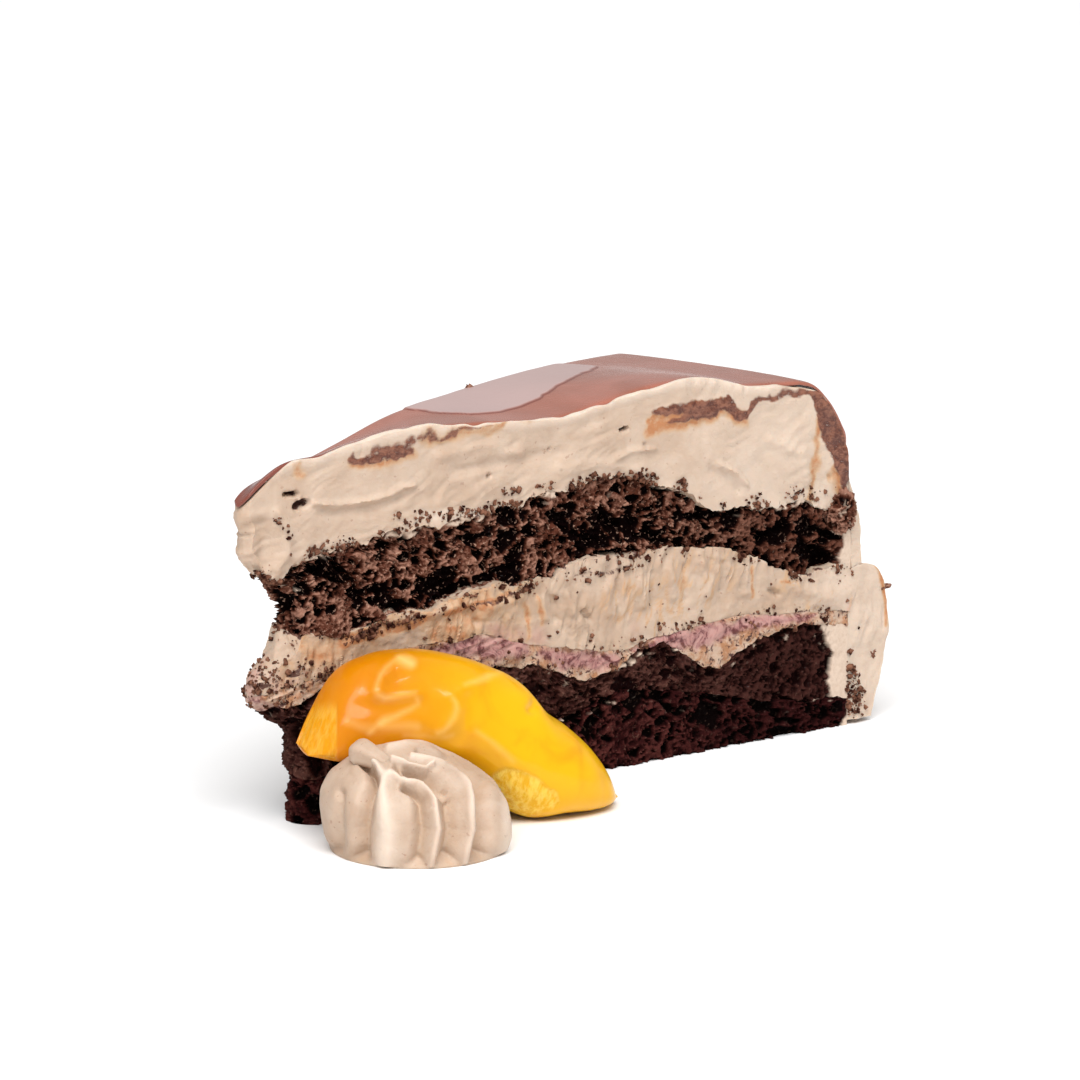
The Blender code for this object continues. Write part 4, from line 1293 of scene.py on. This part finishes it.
# %% [markdown]
# ## The rosette
#
# Whipped cream piped through a star nozzle, whose teeth press grooves into the rope of cream. The end of the
# rope fell over to one side, so all crests meet at one point on the flank. The body is a round dome, made of
# rings. Behind, grooves run out from that point like the ribs of a shell and wind a little. In front each
# crest and each valley has its own path, because there every one of them can be seen.

# %% The rosette
ROSETTE_BASE = (-73.3 * MM, -27.3 * MM)
ROSETTE_RADIUS, ROSETTE_HEIGHT = 17.0 * MM, 19.0 * MM
ROSETTE_LEAN, ROSETTE_LEAN_BEND = (-3.0 * MM, 2.6 * MM), 1.5
ROSETTE_STEPS = (420, 160)
rosette_radius = curve(
    [(0, 930), (120, 990), (300, 1000), (500, 965), (600, 915), (680, 835), (780, 700), (880, 530),
     (950, 350), (1000, 60)]
)
# The crests meet at one point on the flank. Their directions 10 mm from it, in degrees, and how they wind
CRESTS_MEET = (-82.3 * MM, -27.6 * MM)
CREST_DIRECTIONS = np.array([-82.0, -40.0, 14.0, 60.0, 100.0, 145.0, 190.0, 235.0, 278.0])
CREST_WINDING = 2.6
FLUTE_DEPTH, FLUTE_SHARPNESS = 2.5 * MM, 0.75
SMOOTH_SIDE, SMOOTH_SPREAD, SMOOTHING = 125, 40, 0.6
VALLEY_PAINTED_SHADE, CREST_PAINTED_HIGHLIGHT = 0.18, 0.8
# Crests and valleys that the picture shows: height in millimetres, then (right, down, width) in pixels
ROSETTE_FOLDS = [
    (0.60, [(389, 748, 4), (409, 742, 4), (435, 742, 4), (460, 748, 4), (479, 755, 4), (494, 765, 4),
            (502, 778, 4), (506, 798, 4), (507, 840, 5), (500, 866, 5)]),
    (-2.80, [(419, 751, 2.5), (435, 754, 3.5), (448, 757, 4.5), (460, 763, 5), (473, 772, 6), (482, 780, 7),
             (486, 797, 7), (487, 830, 7), (480, 862, 8)]),
    (0.80, [(412, 757, 3), (428, 759, 3), (448, 762, 3), (460, 769, 3), (468, 780, 3.5), (472, 798, 4),
            (472, 830, 5), (465, 864, 6)]),
    (-3.40, [(408, 771, 4), (428, 775, 6), (441, 784, 8), (451, 794, 9), (456, 830, 10), (448, 864, 10)]),
    (1.30, [(393, 761, 2.5), (409, 766, 2), (426, 768, 2), (433, 765, 1.5)]),
    (0.80, [(391, 773, 4), (407, 782, 3.5), (420, 781, 3), (427, 787, 3), (435, 799, 3.5), (440, 830, 5),
            (434, 864, 6)]),
    (-2.40, [(404, 788, 3), (414, 792, 4), (421, 799, 6), (424, 830, 8), (418, 864, 8)]),
    (0.90, [(371, 757, 4), (378, 767, 4), (385, 777, 5), (383, 790, 6), (388, 830, 9), (386, 864, 10)]),
    (-2.60, [(363, 764, 3), (371, 770, 4), (374, 782, 5), (368, 800, 6), (362, 830, 8), (362, 862, 8)]),
    (-1.40, [(341, 792, 4), (338, 815, 6), (338, 850, 7)]),
    (-0.70, [(394, 767, 1.5), (402, 777, 1.5)]),
    (-0.80, [(447, 783, 1.5), (450, 785, 1.5)]),
    (-1.00, [(446, 791, 1.3), (450, 794, 1.5), (454, 792, 1.2)]),
]


def tube_faces(rings, around):
    """Quads between rings of points, and fans of triangles that close both ends on one point each."""
    number = np.arange(rings * around).reshape(rings, around)
    after = np.roll(number, -1, axis=1)
    sides = np.stack([number[:-1], after[:-1], after[1:], number[1:]], -1).reshape(-1, 4)
    first, last = rings * around, rings * around + 1
    fans = np.concatenate([
        np.stack([np.full(around, first), after[0], number[0]], -1),
        np.stack([np.full(around, last), number[-1], after[-1]], -1),
    ])
    return [sides, fans]


def closed_tube(points):
    """Rings of points with a middle point added at both ends, and their faces."""
    ends = np.array([points[0].mean(0), points[-1].mean(0)])
    return np.concatenate([points.reshape(-1, 3), ends]), tube_faces(*points.shape[:2])


def plain_cream(points):
    """The marks that the cream's finish reads, all 0 as on a clean piece."""
    return {mark: np.zeros(len(points)) for mark in CREAM_MARKS}


around, rows = ROSETTE_STEPS
turns = np.arange(around) * 2 * np.pi / around
share, angle = np.meshgrid(np.sin(np.linspace(0, np.pi / 2, rows + 1)), turns, indexing="ij")
lean = share ** ROSETTE_LEAN_BEND
radius = ROSETTE_RADIUS * rosette_radius(share)
points = np.stack([
    ROSETTE_BASE[0] + ROSETTE_LEAN[0] * lean + radius * np.cos(angle),
    ROSETTE_BASE[1] + ROSETTE_LEAN[1] * lean + radius * np.sin(angle),
    ROSETTE_HEIGHT * share,
], -1)
points, groups = closed_tube(points)
outward = normals_of(points, groups[0])
outward[-2:] = (0, 0, -1), (0, 0, 1)
from_meeting = points[:, :2] - np.array(CRESTS_MEET)
distance = np.hypot(*from_meeting.T) / MM
direction = np.degrees(np.arctan2(from_meeting[:, 1], from_meeting[:, 0]))
direction = (direction + CREST_WINDING * (distance - 10) - CREST_DIRECTIONS[0]) % 360 + CREST_DIRECTIONS[0]
phase = np.interp(direction, CREST_DIRECTIONS, np.arange(len(CREST_DIRECTIONS)))
hollow = np.abs(np.sin(phase * np.pi)) ** FLUTE_SHARPNESS
smooth_side = 1 - SMOOTHING * np.exp(-((direction - SMOOTH_SIDE) / SMOOTH_SPREAD) ** 2)
flute = FLUTE_DEPTH * hollow * smooth_side * step(distance, 0.5, 6) * step(points[:, 2], 0, 5 * MM)
rough = 0.22 * MM * cloudy(points, 5 * MM, 900, 2) + 0.07 * MM * cloudy(points, 1.2 * MM, 901, 3)
holes = np.minimum(bubbles(points, outward, 5.0 * MM, 0.02, 0.09, 905), 0.8 * MM)
facing = step(outward @ np.array(towards_viewer), -0.15, 0.25)
folds = folded(*in_picture(points), ROSETTE_FOLDS) * facing
raised = (rough - holes - flute * (1 - facing) + folds * MM) * step(points[:, 2], 0.0, 1.0 * MM)
points = moved(points, outward, raised)
marks = plain_cream(points)
# Painted shade darkens the valleys, and a painted highlight lightens the crests
marks["stain"] = VALLEY_PAINTED_SHADE * np.clip(-folds / 2.4, 0, 1)
marks["pale"] = CREST_PAINTED_HIGHLIGHT * np.clip(folds / 0.8, 0, 1)
rosette = as_object("piped_rosette", points, groups, mocha, marks)
stand_for(rosette, "rosette_cream", "rosette")

# %% The rosette's tail, where the nozzle was pulled away
TAIL_PATH = np.array([
    (-81.6, -29.0, 14.6), (-82.2, -27.4, 16.6), (-82.8, -25.2, 17.6), (-83.2, -23.0, 18.1),
    (-83.6, -20.8, 18.2),
]) * MM
TAIL_RADII = np.array([0.9, 1.7, 2.1, 2.5, 2.4]) * MM
TAIL_STEPS = (48, 60)
TAIL_FLUTES, TAIL_FLUTE_DEPTH, TAIL_UNEVEN = 5, 0.05, 0.15 * MM


def rope(path, radii, steps):
    """A round rope of cream along a path, its end rounded like a ball, with faint lengthwise flutes."""
    rings, around = steps
    place = np.linspace(0, len(path) - 1, rings)
    middle = np.stack([np.interp(place, np.arange(len(path)), path[:, k]) for k in range(3)], -1)
    for _ in range(rings // 6):
        middle[1:-1] = (middle[:-2] + 2 * middle[1:-1] + middle[2:]) / 4
    ahead = np.gradient(middle, axis=0)
    ahead = ahead / np.linalg.norm(ahead, axis=1)[:, None]
    aside = np.cross(ahead, (0, 0, 1.0))
    aside = aside / np.linalg.norm(aside, axis=1)[:, None]
    above = np.cross(aside, ahead)
    radius = np.interp(place, np.arange(len(path)), radii)
    left = (place[-1] - place) / place[-1] * np.linalg.norm(np.diff(path, axis=0), axis=1).sum()
    end = np.clip(1 - left / radii[-1], 0, 1)
    radius = radius * np.sqrt(np.maximum(1 - end ** 2, 0.003))
    turns = -np.arange(around) * 2 * np.pi / around
    ring = radius[:, None] * (1 + TAIL_FLUTE_DEPTH * np.cos(TAIL_FLUTES * turns))
    return (middle[:, None] + aside[:, None] * (ring * np.cos(turns))[..., None]
            + above[:, None] * (ring * np.sin(turns))[..., None])


points, groups = closed_tube(rope(TAIL_PATH, TAIL_RADII, TAIL_STEPS))
points = points + TAIL_UNEVEN * np.stack([cloudy(points, 3 * MM, 910 + k, 2) for k in range(3)], -1)
tail = as_object("rosette_tail", points, groups, mocha, plain_cream(points))
stand_for(tail, "rosette_cream")

# %% [markdown]
# ## The peach
#
# A spoon-cut piece of peach under clear jelly. The jelly flows in soft folds, and the white lamps draw
# bright curved lines on them, which are also painted into the colour as a highlight. Light passes into the
# flesh and lights it from within, which subsurface scattering imitates. The body is a bent tube of squarish
# rings, and the folds are raised along paths.

# %% The peach
PEACH_LEFT, PEACH_RIGHT = np.array((-86.2, -11.2)) * MM, np.array((-27.2, -32.0)) * MM
PEACH_SQUARENESS, PEACH_LEAN = 2.3, 2.0 * MM
PEACH_STEPS = (320, 200)
PEACH_CLEARANCE, PEACH_CLEARANCE_STEPS = -1.2 * MM, 60
peach_top = curve(
    [(0, 18), (3, 22.5), (8, 29.3), (15, 32.4), (22, 32.6), (30, 31), (38, 28), (44, 24.4), (48, 19.6),
     (53, 15.6), (57, 11.6), (60, 7.4), (62.4, 2.6)]
)
peach_bottom = curve(
    [(0, 16.6), (4, 15.4), (12, 13.6), (20, 13), (28, 11), (34, 7), (38, 3), (42, 0.6), (50, 0.3), (58, 0.3),
     (62.4, 1.4)]
)
peach_half_depth = curve(
    [(0, 1.2), (3, 4), (8, 6.2), (15, 7.4), (24, 8.4), (34, 9.6), (44, 10.6), (50, 10.4), (56, 8.4),
     (60, 5.4), (62.4, 1)]
)


def rosette_envelope(x, y):
    """The height below which a point above the rosette would touch it, or 0 beside it."""
    height = np.zeros_like(x)
    for level in np.linspace(0, 1, PEACH_CLEARANCE_STEPS):
        lean = level ** ROSETTE_LEAN_BEND
        middle_x, middle_y = (ROSETTE_BASE[i] + ROSETTE_LEAN[i] * lean for i in (0, 1))
        reach = ROSETTE_RADIUS * rosette_radius(level) + PEACH_CLEARANCE
        inside = np.hypot(x - middle_x, y - middle_y) < reach
        height = np.where(inside, ROSETTE_HEIGHT * level + PEACH_CLEARANCE, height)
    return height


# Folds of the jelly as the picture shows them: height in millimetres, then (right, down, width) in pixels
PEACH_FOLDS = [
    (0.60, [(408, 660, 10), (392, 666, 9), (382, 677, 8), (378, 690, 8)]),
    (0.45, [(378, 694, 8), (394, 695, 7), (418, 692, 7)]),
    (-0.35, [(362, 707, 10), (385, 709, 11), (402, 709, 11), (420, 706, 9)]),
    (-0.30, [(400, 683, 12), (422, 677, 13), (450, 673, 12)]),
    (0.12, [(352, 724, 13), (385, 724, 14), (412, 719, 14), (434, 720, 12)]),
    (0.45, [(452, 697, 8), (458, 708, 8), (453, 721, 8), (438, 732, 9)]),
    (-0.35, [(472, 702, 10), (472, 722, 10), (462, 738, 9)]),
    (0.50, [(463, 688, 8), (482, 680, 8), (502, 674, 8)]),
    (0.35, [(476, 730, 9), (500, 745, 10), (524, 764, 11)]),
    (-0.30, [(490, 705, 15), (520, 730, 15), (548, 752, 13)]),
    (-0.90, [(540, 698, 5), (533, 708, 6)]),
]
# Painted highlights: the lamps' bright lines on the jelly's folds, painted into the colour. How much, then
# (right, down, half width) in pixels
PEACH_PAINTED_HIGHLIGHTS = [
    (0.60, [(399, 661, 3), (411, 665, 3)]),
    (0.45, [(393, 664, 0), (386, 669, 0.5), (380, 676, 0.5), (377, 683, 0.5), (376, 690, 0.5), (379, 695, 1),
            (385, 698, 1.5), (397, 696, 1), (408, 695, 0.5), (414, 694, 0)]),
    (0.40, [(417, 699, 0), (420, 704, 0.5), (411, 709, 1), (398, 714, 2), (385, 719, 3), (376, 726, 2),
            (369, 732, 1)]),
    (0.42, [(452, 698, 0), (456, 704, 1), (457, 711, 1.5), (455, 718, 1.5), (450, 724, 1.5), (444, 729, 1),
            (437, 731, 0.5)]),
    (0.45, [(464, 686, 0), (473, 682, 1), (484, 678, 1.5), (499, 674, 0)]),
    (0.20, [(348, 722, 4), (368, 727, 4)]), (0.22, [(384, 725, 4), (416, 726, 4)]),
    (0.25, [(477, 732, 1), (495, 745, 1.5), (514, 760, 1)]),
    (0.30, [(404, 735, 0.5), (454, 736, 0.5)]),
]
HIGHLIGHT_SOFTNESS, HIGHLIGHT_MOST = 5.0, 0.7
# The bare flesh: left of a line at a place in the picture, and along a path on the right
FLESH_LEFT, FLESH_LEFT_TOP = 337, (698, 712)
FLESH_RIGHT = [(512, 790, 22), (532, 797, 20), (550, 800, 10)]
FLESH_DEPTH, FIBRE_HEIGHT, SLOW_SWELL, LEAST_HEIGHT = 0.35 * MM, 0.07 * MM, 0.35 * MM, 0.2 * MM
YELLOWING = (350, 540)

steps, around = PEACH_STEPS
length = np.linalg.norm(PEACH_RIGHT - PEACH_LEFT)
places = (1 - np.cos(np.linspace(0, np.pi, steps + 1))) / 2 * length
turns = -np.arange(around) * 2 * np.pi / around
along, angle = np.meshgrid(places, turns, indexing="ij")
power = 2 / PEACH_SQUARENESS
side = np.sign(np.cos(angle)) * np.abs(np.cos(angle)) ** power
lift = np.sign(np.sin(angle)) * np.abs(np.sin(angle)) ** power
low, high = peach_bottom(along), peach_top(along)
depth = peach_half_depth(along) * side - PEACH_LEAN * lift
z = (low + high) / 2 + (high - low) / 2 * lift
direction = (PEACH_RIGHT - PEACH_LEFT) / length
forward = np.array([direction[1], -direction[0]])
x = PEACH_LEFT[0] + direction[0] * along + forward[0] * depth
y = PEACH_LEFT[1] + direction[1] * along + forward[1] * depth
z = np.maximum(z, np.minimum(rosette_envelope(x, y), high))
points, groups = closed_tube(np.stack([x, y, z], -1))
outward = normals_of(points, groups[0])
facing = step(outward @ np.array(towards_viewer), 0.0, 0.4)
right, lower = in_picture(points)
right_bent = right + 3 * cloudy(points, 4 * MM, 950, 2)
lower_bent = lower + 3 * cloudy(points, 4 * MM, 951, 2)
cut_left = step(FLESH_LEFT - right_bent * 0.3 - right * 0.7, -1.5, 2.0) * step(lower_bent, *FLESH_LEFT_TOP)
flesh = np.maximum(cut_left, stroke(right_bent, lower_bent, FLESH_RIGHT, 1.5)) * facing
# The lamps' bright lines on the jelly are painted into the colour: painted highlight
painted_highlight = sum(share * stroke(right_bent, lower_bent, path, HIGHLIGHT_SOFTNESS) for share, path in PEACH_PAINTED_HIGHLIGHTS)
marks = {"flesh": flesh, "yellow": step(right, *YELLOWING), "painted_highlight": np.clip(painted_highlight, 0, HIGHLIGHT_MOST) * facing}
slow = SLOW_SWELL * cloudy(points, 13 * MM, 952, 2) * (1 - facing)
fibre = FIBRE_HEIGHT * cloudy(points * (1, 1, 0.25), 0.8 * MM, 953, 2) * flesh
raised = (folded(right, lower, PEACH_FOLDS) * MM - FLESH_DEPTH * flesh) * facing + slow + fibre
points = moved(points, outward, raised)
points[:, 2] = np.maximum(points[:, 2], LEAST_HEIGHT)

# %% The peach's finish
PEACH_ORANGE, PEACH_YELLOW, PEACH_CLOUD = (0.56, 0.185, 0.0005), (0.74, 0.39, 0.001), (0.50, 0.145, 0.0005)
FLESH_SHADE, FLESH_LIGHT, PAINTED_HIGHLIGHT_TONE = (0.72, 0.38, 0.01), (0.84, 0.58, 0.10), (0.88, 0.60, 0.22)


def peach_finish():
    """Peach under jelly: orange to yellow flesh with a painted highlight along the folds, a wet clear coat,
    and pale bare flesh.
    """
    finish = Finish("jellied_peach")
    flesh, yellow, painted_highlight = (finish.attribute(mark) for mark in ("flesh", "yellow", "painted_highlight"))
    clouds = finish.noise(9 * MM, 3, 0.5, 0.6)
    threads = finish.noise(0.9 * MM, 3, 0.6, place=finish.stretched((0, 0.2, 0), (1.0, 1.0, 5.0)))
    pale = finish.mix(threads.smooth(0.35, 0.65), FLESH_SHADE, FLESH_LIGHT)
    body = finish.painted(
        PEACH_ORANGE, (yellow, PEACH_YELLOW), (clouds.smooth(0.45, 0.75, 0, 0.4), PEACH_CLOUD),
        (painted_highlight, PAINTED_HIGHLIGHT_TONE), (flesh * yellow.smooth(0, 0.6, 0.35, 0.9), pale),
    )
    return finish.set(
        Base_Color=body, Roughness=0.4, Specular_IOR_Level=0.1, Subsurface_Weight=0.4,
        Subsurface_Radius=(0.6, 0.4, 0.04), Subsurface_Scale=2 * MM,
        Coat_Weight=0.55 - flesh * 0.4, Coat_Roughness=0.12, Coat_IOR=1.36,
        Normal=finish.bump(threads * flesh, 0.3 * MM),
    )


peach = as_object("jellied_peach", points, groups, peach_finish(), marks)
stand_for(peach, "glazed_peach", "peach")

# %% [markdown]
# ## Crumbs and flakes
#
# A knife leaves crumbs on both sides of every sponge, most of them in clumps near the edge that they fell
# from. One small rounded block is repeated with its own size, stretch and turn, and sunk a little way in.

# %% Loose crumbs
CRUMB_SMALLEST, CRUMB_LARGEST = 0.10 * MM, 0.54 * MM
CRUMB_ROUNDNESS, CRUMB_RISE = 0.35, 0.15
CRUMB_DARK, CRUMB_LIGHT = (0.025, 0.006, 0.004), (0.23, 0.105, 0.065)


def turned_at_random(count, random):
    """Rotation matrices made from random unit quaternions."""
    w, x, y, z = random.normal(size=(count, 4)).T
    length = np.sqrt(w * w + x * x + y * y + z * z)
    w, x, y, z = w / length, x / length, y / length, z / length
    return np.stack([
        1 - 2 * (y * y + z * z), 2 * (x * y - z * w), 2 * (x * z + y * w),
        2 * (x * y + z * w), 1 - 2 * (x * x + z * z), 2 * (y * z - x * w),
        2 * (x * z - y * w), 2 * (y * z + x * w), 1 - 2 * (x * x + y * y),
    ], -1).reshape(count, 3, 3)


def crumb_finish():
    """Crumbs from nearly black to greyish brown."""
    finish = Finish("loose_crumb")
    tone = finish.noise(1.6 * MM, 2, 0.6)
    grain = finish.noise(0.3 * MM, 3, 0.6)
    body = finish.mix(tone.smooth(0.35, 0.65), CRUMB_DARK, CRUMB_LIGHT)
    return finish.set(
        Base_Color=body, Roughness=0.85, Specular_IOR_Level=0.05, Normal=finish.bump(grain, 0.2 * MM)
    )


random = np.random.default_rng(12)
places, directions = np.concatenate(crumb_places), np.concatenate(crumb_directions)
count = len(places)
along, up, across, faces = shell(*[np.linspace(-1, 1, 3)] * 3)
block = np.stack([along, across, up], -1)
block = block / np.linalg.norm(block, axis=1)[:, None] ** CRUMB_ROUNDNESS
size = between(CRUMB_SMALLEST, CRUMB_LARGEST, random.random(count) ** 3)
stretch = random.uniform(0.5, 1.3, (count, 1, 3))
lumpy = random.uniform(0.6, 1.3, (count, len(block), 1))
crumbs = block * stretch * lumpy * size[:, None, None]
crumbs = np.einsum("nij,nvj->nvi", turned_at_random(count, random), crumbs)
crumbs = crumbs + (places + directions * size[:, None] * CRUMB_RISE)[:, None]
crumb_faces = np.concatenate(list(faces.values()))
crumb_faces = (crumb_faces + np.arange(count)[:, None, None] * len(block)).reshape(-1, 4)
loose = as_object("loose_crumbs", crumbs.reshape(-1, 3), [crumb_faces], crumb_finish())
stand_for(loose, "chocolate_sponge")

# %% The lump of sponge at the rim, and the flake on the coat


def lump(middle, radii, steps, seed, rough):
    """A ball stretched by three radii and pushed in and out by noise, as a closed tube of rings."""
    rings, around = steps
    rise = np.linspace(-np.pi / 2, np.pi / 2, rings + 2)[1:-1]
    turn = np.arange(around) * 2 * np.pi / around
    rise, turn = np.meshgrid(rise, turn, indexing="ij")
    ball = np.stack([np.cos(rise) * np.cos(turn), np.cos(rise) * np.sin(turn), np.sin(rise)], -1)
    points, groups = closed_tube(ball * radii)
    direction = points / np.linalg.norm(points, axis=1)[:, None]
    points = points + np.array(middle)
    relief, pore = sponge_relief(points, seed, rough, 0.6, min(radii) / MM * 0.4)
    return moved(points, direction, relief), groups, pore


def at_cut(s, z, outward=0.0):
    """The place on the front cut at those millimetres along and up, moved outward."""
    start = np.array([APEX_X, -TIP_HALF_WIDTH, 0])
    return start + (CUT_ALONG * s + np.array([0, 0, z]) + CUT_OUTWARD * outward) * MM


# Name: middle, three radii in millimetres, steps and roughness
EXTRA_CRUMBS = {
    "sponge_lump": (at_cut(139.4, 42.2, -0.6), (3.7, 3.0, 5.0), (60, 90), 0.7),
    "coat_flake": (at_cut(150.3, 26.0, -0.6), (2.5, 0.9, 0.6), (20, 30), 0.1),
    "red_crumb": (at_cut(147.6, 13.2, -0.8), (1.1, 1.0, 1.6), (20, 30), 0.3),
    "top_crumb_large": (np.array([-15.8, 13.9, 69.5]) * MM, (1.3, 1.1, 0.9), (20, 30), 0.3),
    "top_crumb_small": (np.array([-11.8, 14.6, 69.4]) * MM, (0.9, 0.7, 0.6), (20, 30), 0.2),
}
for seed, (name, (middle_point, radii, steps, rough)) in enumerate(EXTRA_CRUMBS.items(), 1300):
    points, groups, pore = lump(middle_point, np.array(radii) * MM, steps, seed, rough)
    marks = {"pore": pore, "dab": step(cloudy(points, 2 * MM, 1310, 2), 0.35, 0.5) * 0.5, "dusk": 0 * pore}
    stand_for(as_object(name, points, groups, middle_crumb, marks, 70), "chocolate_sponge")
